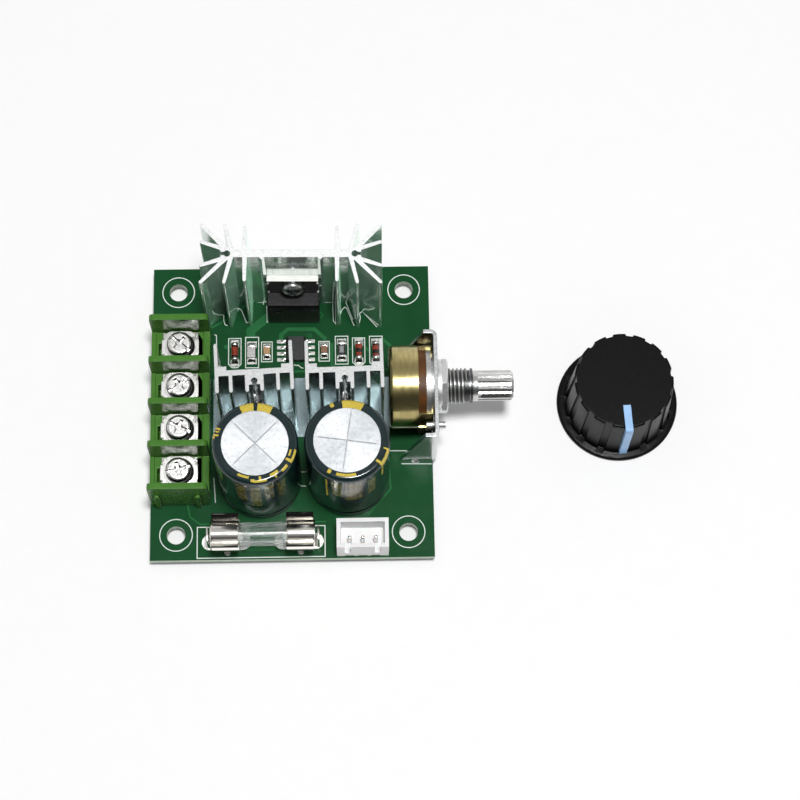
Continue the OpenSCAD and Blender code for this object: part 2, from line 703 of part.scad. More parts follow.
module transistor_nut() {
    color("silver") at_star() translate([0, star_web_t, tab_hole_h]) rotate([-90, 0, 0]) difference() {
        cylinder(d = tab_screw_d * 2.1, h = back_nut_t, $fn = 6);
        translate([0, 0, -overrun]) cylinder(d = tab_screw_d + 2 * shaft_clear, h = back_nut_t + 2 * overrun);
    }
}

// Electrolytic capacitors: aluminium can, shrunk sleeve, rubber bung and leads
can_r = cap_d / 2 - sleeve_t;
crimp_z = cap_h * 0.11;
crimp_depth = cap_d * 0.03;
can_top = cap_h - sleeve_t;
bung_h = cap_h * 0.07;
cap_lift = sleeve_t;
rim_r = cap_d * 0.06;

module can_outline(r, top) {
    polygon(concat([[0, cap_lift]],
        [[r, cap_lift], [r, crimp_z - crimp_depth], [r - crimp_depth, crimp_z],
         [r, crimp_z + crimp_depth], [r, top - rim_r]],
        [for (a = [15:15:90]) [r - rim_r + rim_r * cos(a), top - rim_r + rim_r * sin(a)]],
        [[0, top]]));
}

module capacitor_can(i, rays, turn) {
    score = sleeve_t * 0.8;
    color("silver") translate([cap_centres[i][0], cap_centres[i][1], board_top]) difference() {
        rotate_extrude($fn = 96) difference() {
            can_outline(can_r, can_top);
            translate([0, cap_lift - overrun]) square([can_r * 0.9, bung_h + overrun]);
        }
        for (k = [0:rays - 1]) rotate([0, 0, turn + k * 180 / rays])
            translate([-can_r + sleeve_fold * 1.6, -score / 2, can_top - score])
                cube([2 * can_r - sleeve_fold * 3.2, score, 2 * score]);
    }
}

module capacitor_sleeve(i) {
    color("darkslategray") translate([cap_centres[i][0], cap_centres[i][1], board_top])
        rotate_extrude($fn = 96) difference() {
            can_outline(cap_d / 2, cap_h);
            can_outline(can_r, can_top);
            translate([0, -overrun]) square([can_r - sleeve_fold / 2, cap_lift + 3 * overrun]);
            translate([0, can_top - overrun]) square([can_r - sleeve_fold, 3 * overrun]);
        }
}
module left_capacitor_can() { capacitor_can(0, 2, 45); }
module right_capacitor_can() { capacitor_can(1, 2, -8); }
module left_capacitor_sleeve() { capacitor_sleeve(0); }
module right_capacitor_sleeve() { capacitor_sleeve(1); }

module capacitor_bungs() {
    color("black") for (i = [0, 1]) translate([cap_centres[i][0], cap_centres[i][1], board_top + cap_lift])
        difference() {
            cylinder(r = can_r * 0.9 - seat_gap / 2, h = bung_h - seat_gap / 2);
            for (side = [-1, 1]) translate([side * cap_lead_pitch / 2, 0, -overrun])
                cylinder(d = cap_lead_d + seat_gap, h = bung_h + 2 * overrun, $fn = 24);
        }
}

module capacitor_leads() {
    color("silver") for (place = cap_holes) translate([place[0], place[1], floor_z])
        cylinder(d = cap_lead_d, h = board_top + cap_lift + bung_h * 0.9 - floor_z, $fn = 24);
}

// Fuse clips: spring arms hold the end caps, lips lead the fuse in, an end stop keeps it in line
clip_inner = fuse_cap_d / 2 + seat_gap / 2;
clip_outer = clip_inner + clip_t;
clip_low_turn = 48;
clip_high_turn = 44;

module clip_plan() {
    r = (clip_inner + clip_outer) / 2;
    hold = arc([0, fuse_axis_h], r, -clip_low_turn, clip_high_turn, 10);
    neck = hold[len(hold) - 1];
    arm = concat([[clip_leg_y, clip_t / 2]], hold, [neck + fuse_cap_d * [0.24, 0.27]]);
    polygon(strip(concat(backwards(flipped(arm, -1, 1)), arm), clip_t));
}

module fuse_clip(end) {
    stop_w = fuse_cap_d * 0.5;
    rotate([90, 0, 90]) translate([0, 0, -clip_w / 2]) linear_extrude(clip_w) clip_plan();
    for (y = [-clip_leg_y, clip_leg_y])
        block([-clip_leg_w / 2, y - clip_t / 2, floor_z - board_top], [clip_leg_w / 2, y + clip_t / 2, clip_t]);
    mirror([end < 0 ? 1 : 0, 0, 0]) {
        block([clip_w / 2 - overrun, -stop_w / 2, 0], [fuse_l / 2 - clip_x + 2 * clip_t, stop_w / 2, clip_t]);
        block([fuse_l / 2 - clip_x + clip_t, -stop_w / 2, 0],
              [fuse_l / 2 - clip_x + 2 * clip_t, stop_w / 2, fuse_axis_h + stop_w / 3]);
    }
}

module at_fuse() {
    translate([fuse_centre[0], fuse_centre[1], board_top]) children();
}

module fuse_clips() {
    color("silver") at_fuse() for (end = [-1, 1]) translate([end * clip_x, 0, 0]) fuse_clip(end);
}

module fuse_caps() {
    cap_wall = (fuse_cap_d - fuse_glass_d) / 2;
    color("silver") at_fuse() translate([0, 0, fuse_axis_h]) for (end = [-1, 1])
        rotate([0, 90 * end, 0]) translate([0, 0, fuse_l / 2 - fuse_cap_l]) difference() {
            cylinder(d = fuse_cap_d, h = fuse_cap_l);
            translate([0, 0, -overrun]) cylinder(d = fuse_glass_d + seat_gap, h = fuse_cap_l - cap_wall + overrun);
        }
}

module fuse_glass() {
    glass_l = fuse_l - (fuse_cap_d - fuse_glass_d) - seat_gap;
    color("azure", 0.4) at_fuse() translate([-glass_l / 2, 0, fuse_axis_h]) rotate([0, 90, 0]) difference() {
        cylinder(d = fuse_glass_d, h = glass_l);
        translate([0, 0, -overrun]) cylinder(d = fuse_bore_d, h = glass_l + 2 * overrun);
    }
}

// The fuse element is a thin wire between two drops of solder
module fuse_wire() {
    wire_l = fuse_l - (fuse_cap_d - fuse_glass_d) - 2 * seat_gap;
    drop_l = fuse_cap_l * 1.25;
    color("gainsboro") at_fuse() translate([-wire_l / 2, 0, fuse_axis_h]) rotate([0, 90, 0]) {
        cylinder(d = fuse_bore_d * 0.09, h = wire_l, $fn = 16);
        cylinder(d1 = fuse_bore_d * 0.85, d2 = fuse_bore_d * 0.2, h = drop_l, $fn = 24);
        translate([0, 0, wire_l - drop_l])
            cylinder(d1 = fuse_bore_d * 0.2, d2 = fuse_bore_d * 0.85, h = drop_l, $fn = 24);
    }
}

// Three-pin shrouded connector with two keyways in its front wall
plug_floor = plug_h * 0.34;
module connector_housing() {
    key_w = plug_w * 0.12;
    key_x = plug_w * 0.29;
    foot_w = plug_pitch * 0.66;
    foot_h = plug_h * 0.06;
    color("white") translate([plug_centre[0], plug_centre[1], board_top]) difference() {
        block([-plug_w / 2, -plug_d / 2, 0], [plug_w / 2, plug_d / 2, plug_h]);
        block([-plug_w / 2 + plug_wall, -plug_d / 2 + plug_wall, plug_floor],
              [plug_w / 2 - plug_wall, plug_d / 2 - plug_wall, plug_h + overrun]);
        for (x = [-key_x, key_x])
            block([x - key_w / 2, -plug_d / 2 - overrun, plug_floor],
                  [x + key_w / 2, -plug_d / 2 + plug_wall + overrun, plug_h + overrun]);
        for (i = [-1, 0, 1]) {
            block([i * plug_pitch - foot_w / 2, -plug_d / 2 - overrun, -overrun],
                  [i * plug_pitch + foot_w / 2, -plug_d / 2 + plug_wall, foot_h]);
            block([i * plug_pitch - plug_pin_w / 2 - seat_gap / 2, plug_pin_y - plug_pin_w / 2 - seat_gap / 2, -overrun],
                  [i * plug_pitch + plug_pin_w / 2 + seat_gap / 2, plug_pin_y + plug_pin_w / 2 + seat_gap / 2, plug_h]);
        }
    }
}

module connector_pins() {
    pin_top = plug_h * 0.8;
    point = plug_pin_w * 0.5;
    color("gainsboro") for (place = plug_holes) translate([place[0], place[1], 0]) {
        block([-plug_pin_w / 2, -plug_pin_w / 2, floor_z], [plug_pin_w / 2, plug_pin_w / 2, board_top + pin_top - point]);
        translate([0, 0, board_top + pin_top - point]) rotate([0, 0, 45])
            cylinder(d1 = plug_pin_w * sqrt(2), d2 = plug_pin_w * 0.7, h = point, $fn = 4);
    }
}

// Potentiometer: local Z runs out along the shaft from the mounting face, local -X is up
module at_pot() {
    translate([face_x, axis_y, axis_z]) rotate([0, 90, 0]) children();
}
wafer_r = cup_d / 2 - cup_wall - seat_gap;
wafer_z = -cast_t - wafer_t;
cup_z = wafer_z - cup_l;
shoulder = cast_t * 0.38;
lug_r = cup_d * 0.4875;
lug_d = cup_d * 0.085;
cup_windows = [[-59, 59], [76, 104], [121, 239], [256, 284]];

module pot_cup() {
    edge = cup_d * 0.05;
    fold_r = cup_d / 2 - cup_wall * 4;
    color("darkkhaki") at_pot() difference() {
        rotate_extrude($fn = 96) polygon([[0, cup_z], [cup_d / 2 - edge, cup_z],
            [cup_d / 2 - edge * 0.3, cup_z + edge * 0.3], [cup_d / 2, cup_z + edge],
            [cup_d / 2, -overrun], [fold_r, -overrun], [fold_r, -shoulder], [cup_d / 2 - cup_wall, -shoulder],
            [cup_d / 2 - cup_wall, cup_z + edge], [cup_d / 2 - edge, cup_z + cup_wall], [0, cup_z + cup_wall]]);
        for (window = cup_windows) translate([0, 0, wafer_z]) linear_extrude(2 * cup_l)
            polygon(concat([[0, 0]], arc([0, 0], cup_d, window[0], window[1], 2)));
    }
}

module pot_wafer() {
    tongue_w = cup_d * 0.84;
    tongue = axis_h - pot_pin_w;
    color("saddlebrown") at_pot() translate([0, 0, wafer_z]) difference() {
        linear_extrude(wafer_t) {
            circle(r = wafer_r, $fn = 96);
            translate([0, -tongue_w / 2]) square([tongue, tongue_w]);
        }
        translate([0, 0, -overrun]) cylinder(d = shaft_d * 1.08, h = wafer_t + 2 * overrun);
    }
}

// The front plate and the bushing are one zinc casting, with a lug that stops it turning
module pot_casting() {
    step_r = cup_d / 2 - cup_wall * 4 - seat_gap;
    ear = lug_d * 1.5;
    color("darkgray") at_pot() difference() {
        union() {
            translate([0, 0, -cast_t]) cylinder(r = wafer_r, h = cast_t - shoulder, $fn = 96);
            translate([0, 0, -shoulder - overrun]) cylinder(r = step_r, h = shoulder + overrun, $fn = 96);
            block([-ear / 2, -lug_r, -cast_t], [ear / 2, 0, 0]);
            translate([0, -lug_r, -cast_t]) cylinder(d = ear, h = cast_t, $fn = 32);
            translate([0, -lug_r, -overrun]) cylinder(d = lug_d, h = bracket_t + 2 * cast_t / 2 + overrun, $fn = 32);
            cylinder(d = bushing_d, h = bushing_l);
        }
        translate([0, 0, -cast_t - overrun])
            cylinder(d = shaft_d + 2 * shaft_clear, h = cast_t + bushing_l + 2 * overrun);
    }
}

module pot_terminals() {
    strip_w = pot_pin_w * 2;
    strip_top = axis_z - cup_d * 0.49;
    color("gainsboro") for (place = pot_holes) translate([place[0], place[1], 0]) {
        block([-pot_pin_t / 2, -strip_w / 2, board_top + pot_pin_w / 3], [pot_pin_t / 2, strip_w / 2, strip_top]);
        block([-pot_pin_t / 2, -pot_pin_w / 2, floor_z], [pot_pin_t / 2, pot_pin_w / 2, board_top + pot_pin_w]);
    }
}

// Bent steel bracket: a front plate with two triangular wings that stand on the board
module pot_bracket() {
    bend = bracket_t * 1.2;
    half_w = (bracket_w - bracket_t) / 2;
    low_x = face_x - bracket_foot;
    front_x = face_x + bracket_t / 2;
    wing = concat([[low_x, half_w]], arc([front_x - bend, half_w - bend], bend, 90, 0));
    color("gray") {
        difference() {
            translate([0, 0, board_top]) linear_extrude(bracket_h)
                polygon(strip(concat(wing, backwards(flipped(wing, 1, -1))), bracket_t));
            translate([0, bracket_w, 0]) rotate([90, 0, 0]) linear_extrude(2 * bracket_w)
                polygon([[low_x - bend, board_top], [low_x, board_top + bend],
                         [face_x - bracket_foot * 0.3, board_top + bracket_h],
                         [face_x - bracket_foot * 0.3, bracket_h + bracket_w], [low_x - bend, bracket_h + bracket_w]]);
            translate([face_x - overrun, axis_y, axis_z]) rotate([0, 90, 0]) {
                cylinder(d = bushing_d + 4 * seat_gap, h = bracket_t + 2 * overrun);
                translate([0, -lug_r, 0]) cylinder(d = lug_d * 1.3, h = bracket_t + 2 * overrun, $fn = 32);
            }
        }
        for (place = bracket_holes) translate([place[0], place[1], floor_z])
            block([-bracket_tab_w / 2, -bracket_t / 2, 0],
                  [bracket_tab_w / 2, bracket_t / 2, board_top - floor_z + overrun]);
    }
}

module pot_washer() {
    color("silver") at_pot() translate([0, 0, bracket_t]) difference() {
        cylinder(d = nut_af * 1.04, h = washer_t);
        translate([0, 0, -overrun]) cylinder(d = bushing_d + 4 * seat_gap, h = washer_t + 2 * overrun);
    }
}

module pot_nut() {
    edge = nut_t * 0.25;
    corner_r = nut_af / sqrt(3);
    color("silver") at_pot() translate([0, 0, bracket_t + washer_t]) difference() {
        intersection() {
            rotate([0, 0, 12]) cylinder(r = corner_r, h = nut_t, $fn = 6);
            rotate_extrude($fn = 64) polygon([[0, -overrun], [corner_r * 1.1, -overrun],
                [corner_r * 1.1, nut_t - 2 * edge], [nut_af * 0.47, nut_t], [0, nut_t]]);
        }
        translate([0, 0, -overrun]) cylinder(d = bushing_d + 2 * seat_gap, h = nut_t + 2 * overrun);
    }
}

// Shaft: plain to the bushing's end, a groove for the clip, then splines and a slot
clip_groove = shaft_d * 0.07;
clip_gap = shaft_clear * 2;
rotor_z = wafer_z - cup_l * 0.62;
rotor_t = cup_l * 0.42;
spline_count = 18;
module pot_shaft() {
    edge = shaft_d * 0.09;
    root_r = shaft_d * 0.455;
    color("lightgray") at_pot() difference() {
        union() {
            translate([0, 0, rotor_z]) cylinder(d = shaft_d, h = bushing_l - rotor_z + clip_gap);
            translate([0, 0, bushing_l]) cylinder(d = shaft_d * 0.86, h = clip_groove * 2);
            translate([0, 0, bushing_l + clip_gap + clip_groove])
                cylinder(d = shaft_d, h = shaft_l - spline_l - bushing_l - clip_gap - clip_groove);
            translate([0, 0, shaft_l - spline_l - overrun]) linear_extrude(spline_l + overrun)
                polygon([for (k = [0:spline_count - 1], s = [0:2])
                    let (a = (k + s / 4) * 360 / spline_count, r = s == 1 ? root_r : shaft_d * 0.49)
                    [r * cos(a), r * sin(a)]]);
        }
        translate([0, 0, shaft_l]) rotate_extrude() polygon([[shaft_d / 2 - edge, overrun],
            [shaft_d / 2 - edge, 0], [shaft_d / 2 + edge, -2 * edge], [shaft_d, -2 * edge], [shaft_d, overrun]]);
        rotate([0, 0, 62]) translate([-shaft_d, -slot_w / 2, shaft_l - spline_l + edge])
            cube([2 * shaft_d, slot_w, spline_l]);
    }
}

module pot_clip() {
    color("dimgray") at_pot() translate([0, 0, bushing_l + clip_gap]) difference() {
        cylinder(d = shaft_d * 1.14, h = clip_groove);
        translate([0, 0, -overrun]) cylinder(d = shaft_d * 0.86 + seat_gap, h = clip_groove + 2 * overrun);
        translate([0, -shaft_d * 0.2, -overrun]) cube([shaft_d, shaft_d * 0.4, clip_groove + 2 * overrun]);
    }
}

// Inside the cup a plastic rotor carries the spring wiper round the wafer's track
module pot_rotor() {
    color("ivory") at_pot() translate([0, 0, rotor_z]) difference() {
        union() {
            cylinder(r = wafer_r * 0.8, h = rotor_t);
            translate([0, 0, -cup_l * 0.12]) cylinder(d = shaft_d * 1.3, h = rotor_t + cup_l * 0.12);
        }
        cylinder(d = shaft_d + seat_gap, h = rotor_t + overrun);
    }
}

module pot_wiper() {
    wiper_z = rotor_z + rotor_t;
    reach = wafer_z - wiper_z - 2 * clip_gap;
    arm_t = cup_wall / 2;
    color("gold") at_pot() translate([0, 0, wiper_z]) {
        difference() {
            cylinder(r = wafer_r * 0.7, h = arm_t);
            translate([0, 0, -overrun]) cylinder(r = wafer_r * 0.5, h = arm_t + 2 * overrun);
        }
        for (angle = [0, 90]) rotate([0, 0, angle + 135]) translate([wafer_r * 0.6, 0, 0])
            cylinder(d = wafer_r * 0.12, h = reach, $fn = 24);
    }
}

// Knob: fluted grip over a flange, hollow underneath, with a bored boss for the shaft
knob_wall = knob_top_d * 0.07;
knob_inner_r = knob_top_d / 2 - 2.1 * knob_wall * 0.6;
knob_slope = atan((knob_base_d - knob_top_d) / 2 / (knob_h - knob_flange_t));
groove_depth = knob_wall * 0.34;
boss_r = shaft_d * 0.75;
pointer_turn = -87;
pointer_in = knob_top_d * 0.26;
pointer_proud = knob_wall * 0.55;

module at_knob() {
    translate([knob_x, knob_y, floor_z]) children();
}

module grip_cut(turn, width, depth) {
    rotate([0, 0, turn]) translate([knob_base_d / 2, 0, knob_flange_t]) rotate([0, -knob_slope, 0])
        translate([-depth, -width / 2, 0]) cube([knob_base_d, width, knob_h * 1.2]);
}

module knob_body() {
    ceiling = knob_h - knob_wall;
    color("black") at_knob() difference() {
        union() {
            rotate_extrude($fn = 96) polygon([[0, 0], [knob_flange_d / 2, 0], [knob_flange_d / 2, knob_flange_t * 0.8],
                [knob_flange_d / 2 - knob_flange_t * 0.4, knob_flange_t], [knob_base_d / 2, knob_flange_t * 1.1],
                [knob_top_d / 2, knob_h - knob_wall * 0.15], [knob_top_d / 2 - knob_wall * 0.2, knob_h], [0, knob_h]]);
        }
        difference() {
            translate([0, 0, -overrun]) cylinder(r = knob_inner_r, h = ceiling + overrun, $fn = 96);
            translate([0, 0, knob_flange_t / 2]) cylinder(r = boss_r, h = ceiling);
            for (angle = [0:60:300]) rotate([0, 0, angle + 30])
                block([boss_r * 0.9, -knob_wall * 0.3, ceiling * 0.6], [knob_inner_r + overrun, knob_wall * 0.3, ceiling + overrun]);
        }
        translate([0, 0, -overrun]) cylinder(d = shaft_d + 2 * shaft_clear, h = knob_bore_l + knob_flange_t / 2 + overrun);
        for (k = [1:knob_pads - 1]) grip_cut(pointer_turn + k * 360 / knob_pads, knob_groove_w, groove_depth);
        pointer_space(seat_gap);
    }
}

// The pointer is a coloured bar let into the top and one groove of the grip
module pointer_space(grow) {
    w = pointer_w + grow;
    depth = knob_wall * 0.5 + grow / 2;
    rotate([0, 0, pointer_turn]) {
        block([pointer_in - grow / 2, -w / 2, knob_h - depth], [knob_top_d / 2 + pointer_proud * 2, w / 2, knob_h + grow * 2]);
        translate([knob_base_d / 2, 0, knob_flange_t * 1.2]) rotate([0, -knob_slope, 0])
            translate([-depth, -w / 2, 0]) cube([knob_wall * 2, w, knob_h]);
    }
}

module knob_pointer() {
    outer = knob_base_d / 2 + pointer_proud * 0.6;
    edge = pointer_proud * 0.5;
    color("cornflowerblue") at_knob() intersection() {
        pointer_space(0);
        rotate([0, 0, pointer_turn]) translate([0, pointer_w, 0]) rotate([90, 0, 0]) linear_extrude(2 * pointer_w)
            polygon([[0, knob_flange_t * 1.25], [outer, knob_flange_t * 1.25],
                     [knob_top_d / 2 + pointer_proud * 1.2, knob_h - edge],
                     [knob_top_d / 2 + pointer_proud * 0.8, knob_h + overrun / 2], [0, knob_h + overrun / 2]]);
    }
}

// Surface mounted parts
pad_t = board_t / 40;
chip_centre = on_board(chip_share);
module chip_body() {
    waist = chip_h * 0.5;
    lift = chip_h * 0.1;
    bevel = chip_h * 0.12;
    color("black") translate([chip_centre[0], chip_centre[1], board_top + lift])
        rotate([90, 0, 0]) translate([0, 0, -chip_l / 2]) linear_extrude(chip_l)
            polygon([[-chip_w / 2 + bevel, 0], [chip_w / 2 - bevel, 0], [chip_w / 2, waist],
                     [chip_w / 2 - bevel * 2, chip_h], [-chip_w / 2 + bevel * 2, chip_h], [-chip_w / 2, waist]]);
}

module chip_leads() {
    lead_w = chip_pitch * 0.32;
    lead_t = chip_h * 0.14;
    span = chip_w * 0.27;
    shoulder_z = chip_h * 0.62;
    color("silver") translate([chip_centre[0], chip_centre[1], board_top])
        for (side = [0, 1], k = [-1.5:1.5]) mirror([side, 0, 0])
            translate([chip_w / 2, k * chip_pitch + lead_w / 2, 0]) rotate([90, 0, 0]) linear_extrude(lead_w)
                polygon([[0, shoulder_z - lead_t], [span * 0.35, shoulder_z - lead_t], [span * 0.5, 0], [span, 0],
                         [span, lead_t], [span * 0.68, lead_t], [span * 0.5, shoulder_z], [0, shoulder_z]]);
}

diode_end_l = diode_l * 0.15;
module glass_diodes() {
    glass_l = diode_l - 2 * diode_end_l;
    color("orangered") for (share = diode_shares) let (c = on_board(share))
        translate([c[0], c[1] + glass_l / 2, board_top + diode_d / 2]) rotate([90, 0, 0])
            cylinder(d = diode_d * 0.9, h = glass_l, $fn = 32);
}

module diode_ends() {
    color("silver") for (share = diode_shares, side = [-1, 1]) let (c = on_board(share))
        translate([c[0], c[1] + side * (diode_l - diode_end_l) / 2 + diode_end_l / 2, board_top + diode_d / 2])
            rotate([90, 0, 0]) cylinder(d = diode_d, h = diode_end_l, $fn = 32);
}

resistor_h = resistor_w * 0.35;
ceramic_h = ceramic_w * 0.7;
end_share = 0.16;
module brick(c, l, w, h) {
    block([c[0] - w / 2, c[1] - l / 2, board_top], [c[0] + w / 2, c[1] + l / 2, board_top + h]);
}
module chip_resistors() {
    color("dimgray") for (share = resistor_shares)
        brick(on_board(share), resistor_l * (1 - 2 * end_share), resistor_w, resistor_h);
}
module ceramic_capacitors() {
    color("tan") for (share = ceramic_shares)
        brick(on_board(share), ceramic_l * (1 - 2 * end_share), ceramic_w, ceramic_h);
}
module end_caps() {
    color("silver") {
        for (share = resistor_shares, side = [-1, 1]) let (l = resistor_l * end_share)
            brick(on_board(share) + [0, side * (resistor_l - l) / 2], l, resistor_w, resistor_h);
        for (share = ceramic_shares, side = [-1, 1]) let (l = ceramic_l * end_share)
            brick(on_board(share) + [0, side * (ceramic_l - l) / 2], l, ceramic_w, ceramic_h);
    }
}

circuit_board();
terminal_housing();
terminal_contacts();
terminal_clamp_1();
terminal_clamp_2();
terminal_clamp_3();
terminal_clamp_4();
terminal_screw_1();
terminal_screw_2();
terminal_screw_3();
terminal_screw_4();
star_heatsink();
left_heatsink();
right_heatsink();
heatsink_pins();
transistor_body();
transistor_tab();
transistor_leads();
transistor_nut();
left_device_body();
left_device_tab();
left_device_leads();
right_device_body();
right_device_tab();
right_device_leads();
package_screws();
left_capacitor_can();
left_capacitor_sleeve();
right_capacitor_can();
right_capacitor_sleeve();
capacitor_bungs();
capacitor_leads();
fuse_clips();
fuse_glass();
fuse_caps();
fuse_wire();
connector_housing();
connector_pins();
pot_bracket();
pot_cup();
pot_wafer();
pot_casting();
pot_terminals();
pot_washer();
pot_nut();
pot_shaft();
pot_rotor();
pot_wiper();
pot_clip();
knob_body();
knob_pointer();
chip_body();
chip_leads();
glass_diodes();
diode_ends();
chip_resistors();
ceramic_capacitors();
end_caps();
solder_joints();
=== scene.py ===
"""Looks for a small speed controller board for a DC motor, laid out as a Blender add-on.

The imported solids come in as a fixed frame. Each operator dresses one group of pieces: it rounds
their edges, adds the printed, threaded and soldered detail, and gives them their finishes.
"""

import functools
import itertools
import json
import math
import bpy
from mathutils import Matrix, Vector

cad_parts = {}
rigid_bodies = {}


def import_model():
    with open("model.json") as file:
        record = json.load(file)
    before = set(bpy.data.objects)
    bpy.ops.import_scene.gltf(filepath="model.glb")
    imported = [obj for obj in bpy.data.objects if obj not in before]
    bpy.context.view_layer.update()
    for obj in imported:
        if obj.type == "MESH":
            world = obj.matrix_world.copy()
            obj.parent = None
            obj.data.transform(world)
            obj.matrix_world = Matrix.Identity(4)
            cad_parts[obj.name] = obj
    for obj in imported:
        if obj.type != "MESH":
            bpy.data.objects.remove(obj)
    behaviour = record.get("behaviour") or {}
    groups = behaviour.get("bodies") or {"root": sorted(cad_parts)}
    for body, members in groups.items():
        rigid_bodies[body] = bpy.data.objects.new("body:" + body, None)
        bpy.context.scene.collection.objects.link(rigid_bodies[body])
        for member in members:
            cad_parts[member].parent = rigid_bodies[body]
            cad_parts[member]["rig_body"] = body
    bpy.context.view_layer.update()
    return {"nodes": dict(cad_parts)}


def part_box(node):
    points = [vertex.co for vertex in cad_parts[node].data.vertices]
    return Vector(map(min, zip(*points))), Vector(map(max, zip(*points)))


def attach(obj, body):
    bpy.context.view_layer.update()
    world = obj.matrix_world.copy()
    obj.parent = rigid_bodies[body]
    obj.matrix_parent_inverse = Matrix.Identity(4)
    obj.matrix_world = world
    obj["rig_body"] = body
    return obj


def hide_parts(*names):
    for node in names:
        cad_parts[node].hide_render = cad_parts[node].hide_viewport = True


bl_info = {
    "name": "Speed Controller Board",
    "version": (1, 0, 0),
    "blender": (4, 5, 0),
    "location": "View3D > Sidebar > Controller",
    "description": "Dresses the packed speed controller board with detail pieces and finishes",
    "category": "Object",
}

import bmesh
import bpy
from mathutils import Matrix, Vector

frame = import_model()

NODES = frame["nodes"]
MM = 0.001


def middle(node):
    """The centre of a node's box."""
    low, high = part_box(node)
    return (low + high) / 2


BOARD_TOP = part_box("circuit_board")[1].z
TABLE_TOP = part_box("knob_body")[0].z
SHAFT_AXIS = Vector((0, middle("pot_washer").y, middle("pot_washer").z))
NUT_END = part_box("pot_washer")[0].x + 1.65 * MM
BUSHING_RADIUS = 3.5 * MM
THREAD_CREST = 3.49 * MM
# Printed shapes start just inside the board. Each lies a little above the last, so none share a plane.
LAYERS = itertools.cycle([BOARD_TOP - 0.01 * MM, BOARD_TOP - 0.006 * MM, BOARD_TOP - 0.002 * MM])


# Colours

def linear(code):
    """The linear colour of a hex code. A colour that is linear already stays as it is."""
    if not isinstance(code, str):
        return code
    parts = [int(code[k:k + 2], 16) / 255 for k in (1, 3, 5)]
    return tuple(p / 12.92 if p <= 0.04045 else ((p + 0.055) / 1.055) ** 2.4 for p in parts)


def shade(colour, factor):
    """A darker or lighter version of a colour, for the second tone of a pattern."""
    return tuple(min(c * factor, 1.0) for c in linear(colour))


def colour_property(name, description, code):
    return bpy.props.FloatVectorProperty(
        name=name, description=description, default=linear(code), subtype="COLOR", size=3, min=0, max=1)


def length_property(name, description, default, least, most):
    """A length, its default and its limits given in millimetres."""
    return bpy.props.FloatProperty(
        name=name, description=description, default=default * MM, min=least * MM, max=most * MM,
        unit="LENGTH", precision=5)


class ControllerColours(bpy.types.PropertyGroup):
    """Colours that a user would change."""

    mask: colour_property("Solder mask", "Green of the board", "#164a28")
    trace: colour_property("Trace", "Lighter green over the copper", "#2c7040")
    ink: colour_property("Printed ink", "White of the printed marks", "#e4eee7")
    terminal: colour_property("Terminal block", "Green of the terminal housing", "#4b7f31")
    sleeve: colour_property("Capacitor sleeve", "Dark green of the shrunk sleeves", "#0f2628")
    mark: colour_property("Sleeve print", "Yellow of the marks on the sleeves", "#d8c04a")
    nylon: colour_property("Connector", "White of the connector's housing", "#eeeeee")
    cup: colour_property("Potentiometer cup", "Yellow plating of the cup", "#bcae78")
    knob: colour_property("Knob", "Black of the knob", "#08080a")
    pointer: colour_property("Pointer", "Blue of the knob's pointer", "#a2cdfb")
    bead: colour_property("Diode glass", "Orange red of the glass diodes", "#a63f2a")


class ControllerSizes(bpy.types.PropertyGroup):
    """Sizes that a user would change."""

    rounding: length_property("Edge rounding", "Width of the rounded edges on moulded pieces", 0.16, 0.02, 0.4)
    break_edge: length_property("Edge break", "Width of the broken edges on metal pieces", 0.06, 0.01, 0.2)
    ink_height: length_property("Ink height", "How far the printed marks stand on the board", 0.03, 0.01, 0.1)
    line: length_property("Ink line", "Width of the printed lines", 0.19, 0.1, 0.4)
    thread_pitch: length_property("Thread pitch", "Pitch of the bushing's thread", 0.77, 0.5, 1)
    thread_depth: length_property("Thread depth", "Depth of the bushing's thread", 0.44, 0.1, 0.5)


def colours():
    return bpy.context.scene.controller_colours


def sizes():
    return bpy.context.scene.controller_sizes


# Finishes

class Wiring:
    """Adds nodes to a tree. A value may be a number, a colour or the output of another node."""

    def __init__(self, tree):
        self.tree = tree

    def add(self, kind, values=None, **settings):
        node = self.tree.nodes.new("ShaderNode" + kind)
        for key, value in settings.items():
            setattr(node, key, value)
        for socket, value in (values or {}).items():
            self.feed(node.inputs[socket], value)
        return node

    def feed(self, socket, value):
        if isinstance(value, bpy.types.NodeSocket):
            self.tree.links.new(value, socket)
        else:
            socket.default_value = (*linear(value), 1) if socket.type == "RGBA" else value

    def calc(self, operation, a, b=0.0, c=0.0):
        return self.add("Math", {0: a, 1: b, 2: c}, operation=operation).outputs[0]

    def both(self, a, b):
        return self.calc("MULTIPLY", a, b)

    def either(self, a, b):
        return self.calc("MAXIMUM", a, b)

    def remap(self, value, low, high, start=0.3, end=0.7, **settings):
        return self.add("MapRange", {"Value": value, "From Min": start, "From Max": end,
                                     "To Min": low, "To Max": high}, **settings).outputs[0]


